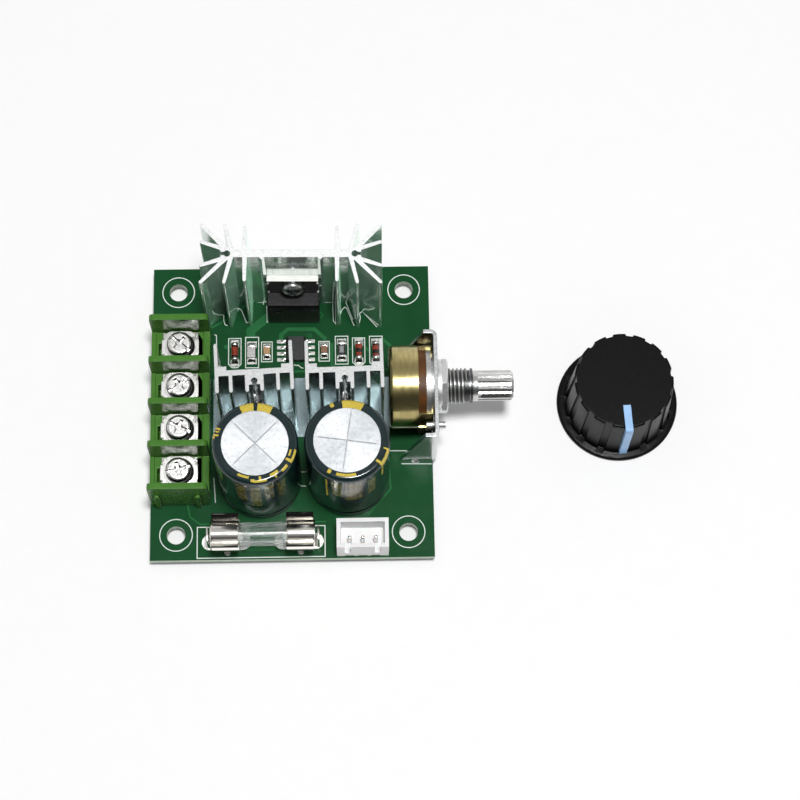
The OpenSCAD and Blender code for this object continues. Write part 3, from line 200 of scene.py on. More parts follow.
class Finish(Wiring):
    """A material while it is wired. Its patterns read Object coordinates, so they stay on the piece.

    The sizes of grain, mottle and gloss and the depth of relief are in millimetres.
    """

    def __init__(self, name, roughness=0.5, metallic=0.0, **sockets):
        self.material = bpy.data.materials.new(name)
        self.material.use_nodes = True
        super().__init__(self.material.node_tree)
        self.shader = self.tree.nodes["Principled BSDF"]
        self.shader.inputs["Roughness"].default_value = roughness
        self.shader.inputs["Metallic"].default_value = metallic
        for socket, value in sockets.items():
            self.shader.inputs[socket.replace("_", " ")].default_value = value
        self.coordinates = self.add("TexCoord")
        self.place = self.coordinates.outputs["Object"]

    def paint(self, socket, value):
        self.feed(self.shader.inputs[socket], value)

    def colour(self, value):
        self.paint("Base Color", value)

    def tint(self, mask, colour):
        """Paints a colour over the base colour where mask is 1."""
        base = self.shader.inputs["Base Color"].links[0].from_socket
        self.colour(self.blend(mask, base, colour))

    def gloss(self, size, low, high):
        """Roughness between low and high, in blotches of a size."""
        self.paint("Roughness", self.remap(self.grain(size), low, high))

    def relief(self, height, depth, strength=0.5):
        """Bump of the given depth."""
        bump = self.add("Bump", {"Height": height, "Distance": depth * MM, "Strength": strength})
        self.paint("Normal", bump.outputs[0])

    def near(self, value, centre, half):
        """1 where value is within half of centre, and 0 elsewhere."""
        return self.calc("COMPARE", value, centre, half)

    def between(self, value, low, high):
        return self.near(value, (low + high) / 2, (high - low) / 2)

    def above(self, value, limit):
        return self.calc("GREATER_THAN", value, limit)

    def below(self, value, limit):
        return self.calc("LESS_THAN", value, limit)

    def window(self, *limits):
        """1 where every (value, low, high) holds."""
        return functools.reduce(self.both, [self.between(*limit) for limit in limits])

    def any_of(self, marks):
        return functools.reduce(self.either, marks)

    def axes(self, centre=(0, 0, 0)):
        """X, Y and Z measured from a point on the piece."""
        moved = self.add("Mapping", {"Vector": self.place, "Location": [-c for c in centre]}).outputs[0]
        return self.add("SeparateXYZ", {"Vector": moved}).outputs

    def distance(self, a, b):
        """The length of a line whose legs are a and b."""
        return self.calc("SQRT", self.calc("ADD", self.both(a, a), self.both(b, b)))

    def polar(self, centre):
        """Distance from an upright axis in mm, angle round it in degrees, and height above its foot in mm."""
        x, y, z = self.axes(centre)
        angle = self.calc("DEGREES", self.calc("ARCTAN2", y, x))
        return self.both(self.distance(x, y), 1000), angle, self.both(z, 1000)

    def reach(self, axis_point):
        """Distance in mm from a line along X."""
        y, z = self.axes(axis_point)[1:]
        return self.both(self.distance(y, z), 1000)

    def grain(self, size, stretch=(1, 1, 1), detail=3.0):
        """Noise with blotches of about the given size, drawn out along the axes where stretch is above 1."""
        scale = [1 / (size * MM * s) for s in stretch]
        mapped = self.add("Mapping", {"Vector": self.place, "Scale": scale}).outputs[0]
        return self.add("TexNoise", {"Vector": mapped, "Scale": 1.0, "Detail": detail}).outputs[0]

    def blend(self, factor, a, b):
        return self.add("Mix", {0: factor, 6: a, 7: b}, data_type="RGBA").outputs[2]

    def mottle(self, a, b, size, stretch=(1, 1, 1)):
        """Two tones in soft blotches of a size."""
        return self.blend(self.remap(self.grain(size, stretch), 0, 1), a, b)

    def facing(self, axis, least):
        """1 on faces that look along an axis, either way, and 0 on the others."""
        normal = self.add("SeparateXYZ", {"Vector": self.coordinates.outputs["Normal"]}).outputs[axis]
        return self.above(self.calc("ABSOLUTE", normal), least)

    def facing_up(self):
        return self.facing(2, 0.7)

    def facing_front(self):
        return self.facing(1, 0.9)


def moulded(name, colour, roughness, size=0.4, depth=0.01, tone=0.82, **sockets):
    """Moulded plastic: two close tones, a fine grain and uneven gloss."""
    finish = Finish(name, **sockets)
    finish.colour(finish.mottle(colour, shade(colour, tone), 8 * size))
    finish.gloss(2 * size, roughness * 0.85, roughness * 1.2)
    finish.relief(finish.grain(size), depth)
    return finish


def drawn_metal(name, colour, roughness, size=0.3, stretch=(1, 1, 1), depth=0.004, tone=0.9, cut=0.0,
                walls=1.0):
    """Metal with scratches along the stretched axis. Faces that look up are duller by cut. Below 1, walls paints the
    faces that don't look up darker, as painted shade.
    """
    finish = Finish(name, metallic=1.0)
    lines = finish.grain(size, stretch)
    base = finish.blend(finish.remap(lines, 0, 1), colour, shade(colour, tone))
    # Painted shade: below 1, walls darkens every face that doesn't look up.
    if walls < 1:
        base = finish.blend(finish.facing_up(), shade(colour, walls), base)
    finish.colour(base)
    dull = finish.remap(lines, roughness * 0.8, roughness * 1.3)
    if cut:
        dull = finish.calc("MULTIPLY_ADD", finish.facing_up(), cut, dull)
    finish.paint("Roughness", dull)
    finish.relief(lines, depth)
    return finish


def solder_mask():
    """Green mask on the faces, pale glass fibre on the cut edges."""
    finish = Finish("solder_mask", Specular_IOR_Level=0.13)
    green = colours().mask
    top = finish.mottle(shade(green, 0.9), shade(green, 1.12), 9)
    fibre = finish.mottle("#c6d6bf", "#93ab8f", 0.3, (4, 4, 0.4))
    finish.colour(finish.blend(finish.facing_up(), fibre, top))
    finish.gloss(3, 0.16, 0.26)
    finish.relief(finish.grain(0.5), 0.006, 0.35)
    return finish


def trace_mask():
    """Mask over copper: lighter, and a little uneven."""
    finish = Finish("trace_mask", Specular_IOR_Level=0.13)
    green = colours().trace
    finish.colour(finish.mottle(green, shade(green, 0.8), 2))
    finish.gloss(1, 0.16, 0.26)
    finish.relief(finish.grain(0.4), 0.004)
    return finish


def ink():
    """Printed ink, thinner in places."""
    finish = Finish("printed_ink")
    white = colours().ink
    thin = finish.remap(finish.grain(0.25), 0, 0.7, 0.45, 0.75)
    finish.colour(finish.blend(thin, white, shade(white, 0.72)))
    finish.gloss(0.6, 0.5, 0.7)
    finish.relief(finish.grain(0.12), 0.006)
    return finish


def tin(name, size=0.7):
    """Solder and tin: bright, with a soft uneven surface."""
    return drawn_metal(name, "#dededa", 0.27, size, depth=0.03, tone=0.8)


def extruded_aluminium(name, walls, ends, top=0.0, board_reflection_sheen=0.0):
    """Drawn walls have upright lines, sawn ends a brushed grain. Below top the long wall has a painted band of dark
    reflection above a painted highlight band, which is also rougher and less metallic.
    """
    # The green-tinted sheen is a painted reflection of the board in the walls.
    finish = Finish(name, Sheen_Weight=board_reflection_sheen, Sheen_Roughness=0.3, Sheen_Tint=(0.5, 1, 0.68, 1))
    lines = finish.grain(0.22, (1, 1, 60))
    sawn = finish.grain(0.14, (6, 1, 1))
    up = finish.facing_up()
    wall = finish.blend(finish.remap(lines, 0, 1), walls, shade(walls, 0.7))
    bare, rough_wall = 0.85, finish.remap(lines, 0.08, 0.16)
    if top:
        wall, bare, rough_wall = painted_wall_bands(finish, top, wall, bare, rough_wall)
    end = finish.blend(finish.remap(sawn, 0, 1), ends, shade(ends, 0.78))
    specks = finish.remap(finish.grain(0.35, detail=5), 0, 0.7, 0.58, 0.7)
    finish.colour(finish.blend(up, wall, finish.blend(specks, end, "#8d9090")))
    finish.paint("Metallic", finish.either(up, bare))
    rougher = finish.calc("SUBTRACT", finish.remap(sawn, 0.5, 0.66), rough_wall)
    finish.paint("Roughness", finish.calc("MULTIPLY_ADD", up, rougher, rough_wall))
    finish.relief(finish.calc("MULTIPLY_ADD", finish.both(up, sawn), 4, lines), 0.006, 0.12)
    return finish


def painted_wall_bands(finish, top, wall, bare, rough):
    """The front of the long wall, with a painted band of dark reflection above a painted highlight band that is also
    rougher and less metallic. Both end in uneven streaks.
    """
    half_wall, middle_x = 11.5 * MM, 0.7 * MM
    long_wall = finish.both(finish.facing_front(), finish.near(finish.axes()[0], middle_x, half_wall))
    depth = finish.calc("SUBTRACT", top / MM, finish.both(finish.axes()[2], 1000))
    uneven = finish.calc("ADD", depth, finish.remap(finish.grain(0.3, (1, 1, 14)), -0.8, 0.8))
    painted_dark_band, painted_highlight_band = (finish.both(finish.both(finish.between(uneven, low, high), long_wall), strength)
                    for low, high, strength in ((0.1, 2.6, 0.22), (3.0, 4.6, 0.34)))
    # Painted reflection and highlight: a dark band just under the top, and a near-white band below it.
    wall = finish.blend(painted_highlight_band, finish.blend(painted_dark_band, wall, "#6c7172"), "#f4f6f5")
    bare = finish.calc("SUBTRACT", bare, finish.both(painted_highlight_band, 0.8))
    return wall, bare, finish.calc("ADD", rough, finish.both(painted_highlight_band, 0.3))


def can_aluminium(name, centre, turn):
    """Satin can top with fine specks. The four fields between the scores are painted in two tones, as painted light,
    and the scores are painted darker, as painted shade.
    """
    finish = Finish(name, metallic=0.9)
    radius, angle = finish.polar(centre)[:2]
    field = finish.calc("SINE", finish.calc("RADIANS", finish.calc("MULTIPLY_ADD", angle, 2, -2 * turn)))
    # Painted light: the fields between the scores get a lighter and a darker tone.
    painted_field_light = finish.remap(finish.calc("ADD", field, finish.both(finish.grain(2.5), 1.4)), 0, 1, -0.6, 2.0)
    specks = finish.remap(finish.grain(0.3, detail=4), 0, 1, 0.62, 0.7)
    base = finish.blend(specks, finish.blend(painted_field_light, "#cfd1d3", "#afb3b6"), "#8b9094")
    # Painted shade along the scores, out to the rim.
    painted_score_shade = finish.both(finish.below(finish.both(finish.calc("ABSOLUTE", field), radius), 0.13),
                        finish.below(radius, 6.1))
    finish.colour(finish.blend(finish.both(painted_score_shade, 0.8), base, "#9b9fa2"))
    finish.gloss(0.8, 0.52, 0.64)
    finish.relief(finish.grain(0.25), 0.012, 0.4)
    return finish


# The print on the sleeves: angles in degrees, then radii, then heights in mm where they aren't those of the top
TOP = (22, 26)
SIDE = (7.6, 8.2)
SOLID_MARKS = {
    "left": ((92, 112, 6.2, 8.2), (64, 86, 6.2, 8.2), (156, 159, 6.9, 8.2), (161, 163, 6.9, 8.2),
             (165.5, 169, 6.9, 8.2), (169.5, 172, 7.5, 8.2), (-118, -99, 6.5, 6.95), (-96, -90, 7.0, 7.5),
             (-92, -72, 7.2, 7.6), (-84, -80, 6.5, 7.3), (-66, -52, 6.6, 7.1), (-60, -57, 7.1, 7.7),
             (-47, -36, 7.1, 7.6), (-30, -26, 6.5, 7.7), (-30, -10, 7.4, 7.8), (-22, -12, 6.6, 6.95)),
    "right": ((65, 97, 6.2, 8.2), (109, 115, 6.9, 7.9), (-38, -34, 6.6, 8.2, 18, 26), (-37, -12, 7.55, 8.2, 23, 26),
              (-15, -12, 6.9, 8.2), (-122, -117, 6.4, 7.2), (-108, -77, 6.5, 7.05), (-121, -118.5, *SIDE, 12, 23)),
}
# The rows of dashes down the sides: angles, then heights
RULED_MARKS = {
    "left": ((-118, -104, 13, 23), (-98, -84, 10, 23), (-78, -66, 14, 23), (-60, -48, 12, 22)),
    "right": ((-112, -98, 14, 23), (-94, -70, 12, 23), (-62, -50, 13, 22)),
}


def printed_sleeve(side, centre):
    """Shrunk sleeve with solid bars and rows of dashes in yellow ink."""
    finish = Finish(side + "_sleeve")
    radius, angle, height = finish.polar(centre)
    wobble = finish.calc("ADD", angle, finish.remap(finish.grain(0.5), -0.8, 0.8))

    def spot(start, end, inner, outer, low=TOP[0], high=TOP[1]):
        return finish.window((wobble, start, end), (radius, inner, outer), (height, low, high))

    solid = [spot(*mark) for mark in SOLID_MARKS[side]]
    ruled = [spot(start, end, *SIDE, low, high) for start, end, low, high in RULED_MARKS[side]]
    rows = finish.above(finish.calc("FRACT", finish.both(height, 1.15)), 0.55)
    rows = finish.both(rows, finish.above(finish.grain(0.45, (1, 1, 0.5)), 0.47))
    yellow = finish.either(finish.any_of(solid), finish.both(finish.both(finish.any_of(ruled), rows), 0.6))
    sleeve, mark = colours().sleeve, colours().mark
    finish.colour(finish.blend(yellow, finish.mottle(sleeve, shade(sleeve, 0.75), 4),
                               finish.mottle(mark, shade(mark, 0.8), 0.5)))
    finish.gloss(2, 0.1, 0.2)
    finish.relief(finish.grain(1.4), 0.03, 0.4)
    return finish


# Building helpers

def object_mode():
    bpy.ops.object.mode_set(mode="OBJECT")


def deselect():
    if bpy.context.object and bpy.context.object.mode != "OBJECT":
        object_mode()
    bpy.ops.object.select_all(action="DESELECT")


def only(piece):
    deselect()
    piece.select_set(True)
    bpy.context.view_layer.objects.active = piece


def edit(piece):
    only(piece)
    bpy.ops.object.mode_set(mode="EDIT")
    bpy.ops.mesh.select_all(action="SELECT")


def new_object(name, data):
    item = bpy.data.objects.new(name, data)
    bpy.context.scene.collection.objects.link(item)
    return item


def pick(piece, kind, test):
    """Selects the vertices or faces of a piece in edit mode that pass a test."""
    bpy.ops.mesh.select_all(action="DESELECT")
    bpy.ops.mesh.select_mode(type=kind)
    mesh = bmesh.from_edit_mesh(piece.data)
    for item in mesh.verts if kind == "VERT" else mesh.faces:
        item.select = test(item)
    mesh.select_flush_mode()
    bmesh.update_edit_mesh(piece.data)


def apply_modifier(piece, name, kind, **settings):
    only(piece)
    modifier = piece.modifiers.new(name, kind)
    for key, value in settings.items():
        setattr(modifier, key, value)
    bpy.ops.object.modifier_apply(modifier=name)


def soften(piece, width=0.0, segments=2):
    """Rounds the sharp edges, smooths the curved walls and keeps the flat faces flat."""
    if width:
        apply_modifier(piece, "Rounding", "BEVEL", width=width, segments=segments, limit_method="ANGLE",
                       angle_limit=math.radians(32), use_clamp_overlap=False, loop_slide=False)
    only(piece)
    bpy.ops.object.shade_smooth_by_angle(angle=math.radians(40))
    apply_modifier(piece, "Normals", "WEIGHTED_NORMAL", keep_sharp=True, weight=60)


def face_outwards(piece):
    """Turns the faces of a piece in edit mode outwards, and smooths its curved walls."""
    bpy.ops.mesh.select_all(action="SELECT")
    bpy.ops.mesh.normals_make_consistent(inside=False)
    object_mode()
    soften(piece)


def dress(piece, finish):
    piece.data.materials.clear()
    piece.data.materials.append(finish.material)


def settle(piece, node, finish, replaces=False):
    """Places a finished piece with a node: same body, and its material."""
    deselect()
    dress(piece, finish)
    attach(piece, NODES[node]["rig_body"])
    if replaces:
        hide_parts(node)
    return piece


def copy_of(node, name):
    """A merged copy of a node's mesh, with flat faces made whole again."""
    piece = new_object(name, NODES[node].data.copy())
    edit(piece)
    bpy.ops.mesh.customdata_custom_splitnormals_clear()
    bpy.ops.mesh.remove_doubles(threshold=MM / 2000)
    bpy.ops.mesh.dissolve_limited(angle_limit=math.radians(0.1))
    object_mode()
    return piece


def finish_node(node, finish, width=None, segments=2):
    """Replaces a node with its copy in the given finish, its edges broken or rounded to a width."""
    piece = copy_of(node, node + "_piece")
    soften(piece, sizes().break_edge if width is None else width, segments)
    return settle(piece, node, finish, replaces=True)


def begin(name):
    """Starts an empty piece in edit mode. Primitives that are added then go into it."""
    piece = new_object(name, bpy.data.meshes.new(name))
    only(piece)
    bpy.ops.object.mode_set(mode="EDIT")
    return piece


def edges_of(path, reach, closed):
    """The right and left edge points of a line through a path, mitred at its corners."""
    pairs = []
    for k, point in enumerate(path):
        before = path[k - 1] if k or closed else None
        after = path[(k + 1) % len(path)] if k < len(path) - 1 or closed else None
        into = (point - before).normalized() if before else (after - point).normalized()
        out = (after - point).normalized() if after else into
        bend = (into + out).normalized()
        side = Vector((-bend.y, bend.x)) * reach / max(bend.dot(out), 0.4)
        pairs.append((point - side, point + side))
    return pairs


def stroke(points, width, closed=False):
    """A flat line of even width on the board, laid as a strip of faces along its path."""
    pairs = edges_of([Vector(p) for p in points], width / 2, closed)
    if closed:
        pairs.append(pairs[0])
    bpy.ops.mesh.primitive_grid_add(x_subdivisions=len(pairs) - 1, y_subdivisions=1, size=1)
    mesh = bmesh.from_edit_mesh(bpy.context.object.data)
    corners = sorted((v for v in mesh.verts if v.select), key=lambda v: (round(v.co.x, 4), v.co.y))
    height = next(LAYERS)
    for corner, place in zip(corners, itertools.chain(*pairs)):
        corner.co = (*place, height)
    bmesh.update_edit_mesh(bpy.context.object.data)


def bar(centre, length, width):
    """A flat rectangle, its length along X."""
    half = Vector((length / 2, 0))
    stroke([Vector(centre) - half, Vector(centre) + half], width)


def outline(low, high, width, cut=0.0):
    """A rectangle of lines, its two lower corners cut at an angle."""
    corners = [(low[0], high[1]), (high[0], high[1]), (high[0], low[1] + cut), (high[0] - cut, low[1]),
               (low[0] + cut, low[1]), (low[0], low[1] + cut)]
    if not cut:
        corners = [corners[0], corners[1], corners[3], corners[4]]
    stroke(corners[::-1], width, closed=True)


def disc(centre, radius, sides):
    bpy.ops.mesh.primitive_circle_add(vertices=sides, radius=radius, fill_type="NGON",
                                      location=(centre[0], centre[1], next(LAYERS)))


def ring(centre, radius, width, sides=64):
    """A flat ring: a disc inset and its middle taken out."""
    disc(centre, radius, sides)
    bpy.ops.mesh.inset(thickness=width)
    bpy.ops.mesh.delete(type="FACE")


def spin_profile(name, profile, origin, axis, steps):
    """Spins an open profile of (along, out) pairs round an axis through origin."""
    across = Vector((0, 0, 1)) if abs(axis.z) < 0.5 else Vector((1, 0, 0))
    piece = begin(name)
    mesh = bmesh.from_edit_mesh(piece.data)
    corners = [mesh.verts.new(origin + axis * along + across * out) for along, out in profile]
    for a, b in zip(corners, corners[1:]):
        mesh.edges.new((a, b))
    bmesh.update_edit_mesh(piece.data)
    bpy.ops.mesh.select_all(action="SELECT")
    bpy.ops.mesh.spin(steps=steps, angle=2 * math.pi, center=origin, axis=axis)
    bpy.ops.mesh.select_all(action="SELECT")
    bpy.ops.mesh.remove_doubles(threshold=MM / 1000)
    bpy.ops.mesh.normals_make_consistent(inside=False)
    object_mode()
    return piece


# Operators

class ControllerOperator:
    bl_options = {"REGISTER", "UNDO"}


class CONTROLLER_OT_board(ControllerOperator, bpy.types.Operator):
    """Dress the drilled board and the solder cones under it"""

    bl_idname = "controller.board"
    bl_label = "Board"

    def execute(self, context):
        finish_node("circuit_board", solder_mask(), segments=1)
        finish_node("solder_joints", tin("solder", 1.2), 0)
        return {"FINISHED"}


def places(*pairs):
    """Board places in millimetres, as points."""
    return [Vector((x * MM, y * MM)) for x, y in pairs]


# Each small part: centre, half the length between its pads, pad width and length, and its printed frame
SMALL_PARTS = (
    ((-11.22, 12.02), 1.92, 1.7, 1.5, (-12.48, 9.0), (-10.02, 15.12), 0.7),
    ((-7.86, 12.06), 1.66, 1.9, 1.25, (-9.11, 8.95), (-6.53, 15.32), 0.0),
    ((-4.9, 12.24), 1.12, 1.5, 0.95, (-5.95, 10.15), (-3.84, 14.3), 0.0),
    ((6.49, 12.33), 1.12, 1.5, 0.95, (5.43, 10.12), (7.5, 14.25), 0.0),
    ((9.96, 12.39), 1.66, 1.9, 1.25, (8.7, 9.45), (11.2, 15.3), 0.0),
    ((13.37, 12.0), 1.92, 1.7, 1.5, (12.11, 9.1), (14.55, 14.9), 0.7),
    ((16.72, 11.97), 1.92, 1.7, 1.5, (15.5, 9.0), (18.02, 15.2), 0.7),
)



def pad_places():
    """Each pad of the small parts in mm: its middle, the side that it is on, its width and its length."""
    for (x, y), reach, wide, long, *_ in SMALL_PARTS:
        for side in (-1, 1):
            yield x, y + side * (reach + 0.1), side, wide, long


# Printed lines that follow the heatsinks' feet, the leads and the rows of parts
PRINTED_LINES = (
    ((-16.63, 21.8), (-13.28, 22.83)),
    ((-15.24, 19.18), (-13.73, 20.35), (-13.47, 20.02), (-13.47, 18.94), (-13.21, 18.07), (-12.7, 17.85)),
    ((-15.3, 15.95), (-14.92, 15.84), (-14.86, 13.6)),
    ((-11.39, 19.77), (-10.47, 21.49), (-9.96, 21.1), (-8.94, 18.44), (-8.33, 18.43), (-8.13, 18.86),
     (-8.13, 22.87), (-5.54, 22.67), (-5.54, 22.18)),
    ((-4.93, 21.95), (-4.83, 18.38)),
    ((5.96, 22.56), (8.81, 22.52), (8.81, 17.97), (8.36, 18.52), (8.25, 22.31)),
    ((9.28, 18.39), (10.02, 20.76), (10.64, 21.46), (11.04, 21.18), (12.22, 18.14), (12.52, 17.48)),
    ((10.85, 22.59), (12.23, 18.78)),
    ((13.04, 17.91), (13.55, 18.12), (13.76, 19.19), (13.57, 20.06), (14.19, 20.49), (17.04, 17.15)),
    ((14.19, 20.49), (13.09, 21.69)),
    ((14.3, 20.92), (14.91, 20.69), (16.84, 20.72)),
    ((17.52, 18.6), (17.87, 18.05), (17.61, 17.52)),
    ((5.13, 21.37), (5.11, 18.45)),
    ((-0.41, 15.2), (2.24, 15.17)),
    ((0.35, 9.6), (0.9, 9.25), (1.35, 9.35), (1.9, 8.8), (2.34, 8.7)),
    ((17.96, -8.58), (22.6, -8.65)),
    ((21.4, -11.28), (27.3, -11.38)),
    ((1.53, -12.65), (2.7, -12.67)),
    ((1.52, -15.48), (2.68, -15.5)),
    ((-15.27, -13.59), (-14.92, -18.6)),
)


# Traces that show through the mask: width, then path. The second goes round the chip.
CHIP_X, CHIP_Y = (middle("chip_body") / MM).xy
TRACES = (
    (1.75, (-8.1, 15.4), (-8.1, 16.7), (-4.6, 19.6)),
    (0.75, (CHIP_X - 2.96, CHIP_Y + 2.2), (CHIP_X - 2.96, CHIP_Y + 3.3), (CHIP_X - 1.6, CHIP_Y + 4.5),
     (CHIP_X + 3.7, CHIP_Y + 4.45), (CHIP_X + 5.96, CHIP_Y + 2.3)),
    (0.6, (8.0, 13.9), (8.0, 9.3), (9.4, 8.1)),
    (0.35, (-16.2, 17.3), (-13.2, 18.9), (-9.1, 22.1)),
    (0.5, (-13.2, 13.4), (-12.4, 13.0)),
    (0.5, (11.3, 12.6), (12.0, 12.6)),
    (0.5, (14.4, 13.2), (15.5, 12.0)),
    (0.6, (18.1, 14.6), (19.6, 13.2), (19.6, 9.4)),
    (0.5, (-2.4, 9.0), (-2.4, 8.0), (20.4, 8.3)),
    (0.3, (-20.4, -18.7), (-19.8, -21.4), (-17.9, -22.9), (6.6, -22.7)),
    (0.3, (18.8, -9.7), (19.2, -16.3), (14.6, -21.6)),
)


class CONTROLLER_OT_print(ControllerOperator, bpy.types.Operator):
    """Add the printed lines, the traces under the mask, the pads and the solder fillets"""

    bl_idname = "controller.print"
    bl_label = "Board print"

    def execute(self, context):
        self.traces()
        self.patch()
        self.pads()
        self.lines()
        self.fillets()
        return {"FINISHED"}

    def lay(self, piece, finish, height):
        """Gives flat shapes their thickness, towards the side that they face, and places them."""
        bpy.ops.mesh.select_all(action="SELECT")
        bpy.ops.mesh.remove_doubles(threshold=MM / 10000)
        object_mode()
        apply_modifier(piece, "Thickness", "SOLIDIFY", thickness=height, offset=1)
        only(piece)
        bpy.ops.object.shade_flat()
        settle(piece, "circuit_board", finish)

    def traces(self):
        piece = begin("board_traces")
        for width, *path in TRACES:
            stroke(places(*path), width * MM)
        bar((-6.1 * MM, -26.6 * MM), 5.6 * MM, 3.6 * MM)
        for x, y in ((-12.95, 13.41), (3.64, 15.53), (5.42, 10.64)):
            ring((x * MM, y * MM), 0.42 * MM, 0.16 * MM, 24)
        ring((5.73 * MM, 19.85 * MM), 0.62 * MM, 0.2 * MM, 32)
        self.lay(piece, trace_mask(), 0.02 * MM)

    def patch(self):
        """The bare tinned copper that the small heatsinks stand on."""
        piece = begin("board_patch")
        bar((1.9 * MM, 0.6 * MM), 34.6 * MM, 12.1 * MM)
        finish = Finish("bare_tin", metallic=0.85)
        finish.colour(finish.mottle("#b4c8cc", "#9aafb4", 3))
        finish.gloss(1.5, 0.2, 0.3)
        finish.relief(finish.grain(1.2), 0.02, 0.3)
        self.lay(piece, finish, 0.018 * MM)

    def pads(self):
        piece = begin("board_pads")
        for x, y, side, wide, long in pad_places():
            bar((x * MM, y * MM), wide * MM, long * MM)
        chip = middle("chip_body")
        for side, step in itertools.product((-1, 1), (-1.5, -0.5, 0.5, 1.5)):
            bar((chip.x + side * 2.9 * MM, chip.y + step * 1.27 * MM), 1.7 * MM, 0.72 * MM)
        clips, row, half, radius = (-12.75, 1.28), -26.55 * MM, 3.2, 1.55 * MM
        for x in clips:
            bar((x * MM, row), 2 * half * MM, 2 * radius)
            for side in (-1, 1):
                disc(((x + side * half) * MM, row), radius, 32)
        self.lay(piece, tin("tinned_pads"), 0.03 * MM)

    def lines(self):
        line = sizes().line
        piece = begin("board_ink")
        for x, y in itertools.product((-22.5, 22.5), (-25, 25)):
            ring((x * MM, y * MM), 3.25 * MM, line)
        outline((-18.4 * MM, -29.65 * MM), (6.3 * MM, -23.5 * MM), line)
        for *_, low, high, cut in SMALL_PARTS:
            outline(Vector(low) * MM, Vector(high) * MM, line * 0.9, cut * MM)
        for path in PRINTED_LINES:
            stroke(places(*path), line * 0.85)
        self.lay(piece, ink(), sizes().ink_height)

    def fillets(self):
        """Solder that climbs the ends of each small part: one wedge, copied to every pad."""
        toe, crown, narrowed = 0.12, 0.9, 0.86
        wedge = begin("solder_wedge")
        bpy.ops.mesh.primitive_cube_add(size=1)
        mesh = bmesh.from_edit_mesh(wedge.data)
        for corner in mesh.verts:
            if corner.co.z < 0:
                corner.co.z = 0
            else:
                corner.co.z = toe if corner.co.y > 0 else crown
                corner.co.x *= narrowed
        bmesh.update_edit_mesh(wedge.data)
        bpy.ops.mesh.select_all(action="SELECT")
        bpy.ops.mesh.bevel(offset=0.2, segments=3, affect="EDGES")
        object_mode()
        pieces = []
        for x, y, side, wide, _ in pad_places():
            fillet = new_object("fillet", wedge.data.copy())
            fillet.scale = (wide * 0.82 * MM, side * 0.55 * MM, 0.8 * MM)
            fillet.location = (x * MM, y * MM, BOARD_TOP)
            pieces.append(fillet)
        bpy.data.objects.remove(wedge)
        deselect()
        for fillet in pieces:
            fillet.select_set(True)
        bpy.context.view_layer.objects.active = pieces[0]
        bpy.ops.object.join()
        piece = bpy.context.object
        piece.name = "solder_fillets"
        bpy.ops.object.transform_apply(location=True, rotation=True, scale=True)
        edit(piece)
        face_outwards(piece)
        settle(piece, "solder_joints", tin("fillet_solder", 0.6))


class CONTROLLER_OT_terminals(ControllerOperator, bpy.types.Operator):
    """Dress the terminal block, its contacts, clamp plates and screws"""

    bl_idname = "controller.terminals"
    bl_label = "Terminal block"

    def execute(self, context):
        finish_node("terminal_housing", self.housing(), sizes().rounding)
        finish_node("terminal_contacts", drawn_metal("contact_nickel", "#cfcec9", 0.27))
        plate = self.plate()
        # The screw heads' side walls are painted nearly black by walls=0.05: painted shade round each head.
        screw = drawn_metal("screw_nickel", "#f4f3f1", 0.31, 0.55, depth=0.09, tone=0.5, walls=0.05)
        for k in range(1, 5):
            finish_node(f"terminal_clamp_{k}", plate)
            finish_node(f"terminal_screw_{k}", screw)
        return {"FINISHED"}

    def housing(self):
        """Glossy green plastic. Faces that look to the front or back are painted darker, as painted shade."""
        finish = moulded("terminal_plastic", colours().terminal, 0.24, depth=0.003, tone=0.86,
                         Specular_IOR_Level=0.2)
        # Painted shade: the faces that look to the front or back are darkened.
        finish.tint(finish.both(finish.facing_front(), 0.5), shade(colours().terminal, 0.35))
        return finish

    def plate(self):
        """Nickel, hammered a little by the screws. A dark ring is painted round each head, as painted shadow of the
        gap.
        """
        finish = drawn_metal("clamp_nickel", "#f4f3f0", 0.31, 0.5, (1, 3, 1), 0.05, 0.6)
        first, last = middle("terminal_screw_1"), middle("terminal_screw_4")
        half_step = abs(last.y - first.y) / 6
        low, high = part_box("terminal_screw_1")
        x, y = finish.axes((first.x, first.y, 0))[:2]
        reach = finish.distance(x, finish.calc("WRAP", y, half_step, -half_step))
        shadow_ring_width = 0.14 * MM
        edge = finish.calc("MULTIPLY_ADD", x, 0.1, (high - low).x / 2 + shadow_ring_width)
        # Painted shadow: a near-black ring round each screw head, wider to one side.
        finish.tint(finish.below(reach, edge), "#1c1d1c")
        return finish


class CONTROLLER_OT_heatsinks(ControllerOperator, bpy.types.Operator):
    """Dress the star heatsink, the two small heatsinks and their pins"""

    bl_idname = "controller.heatsinks"
    bl_label = "Heatsinks"

    def execute(self, context):
        # Below its top, the star's long wall gets the painted dark reflection band and the painted highlight band.
        star = extruded_aluminium("star_aluminium", "#e4ece8", "#dfe0e0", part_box("star_heatsink")[1].z, 0.22)
        # The small heatsinks' walls are painted darker than their ends, as painted shade.
        small = extruded_aluminium("small_aluminium", "#aab3b3", "#bcbdbd")
        for node, metal in (("star_heatsink", star), ("left_heatsink", small), ("right_heatsink", small)):
            finish_node(node, metal)
        finish_node("heatsink_pins", tin("tinned_pins"))
        return {"FINISHED"}


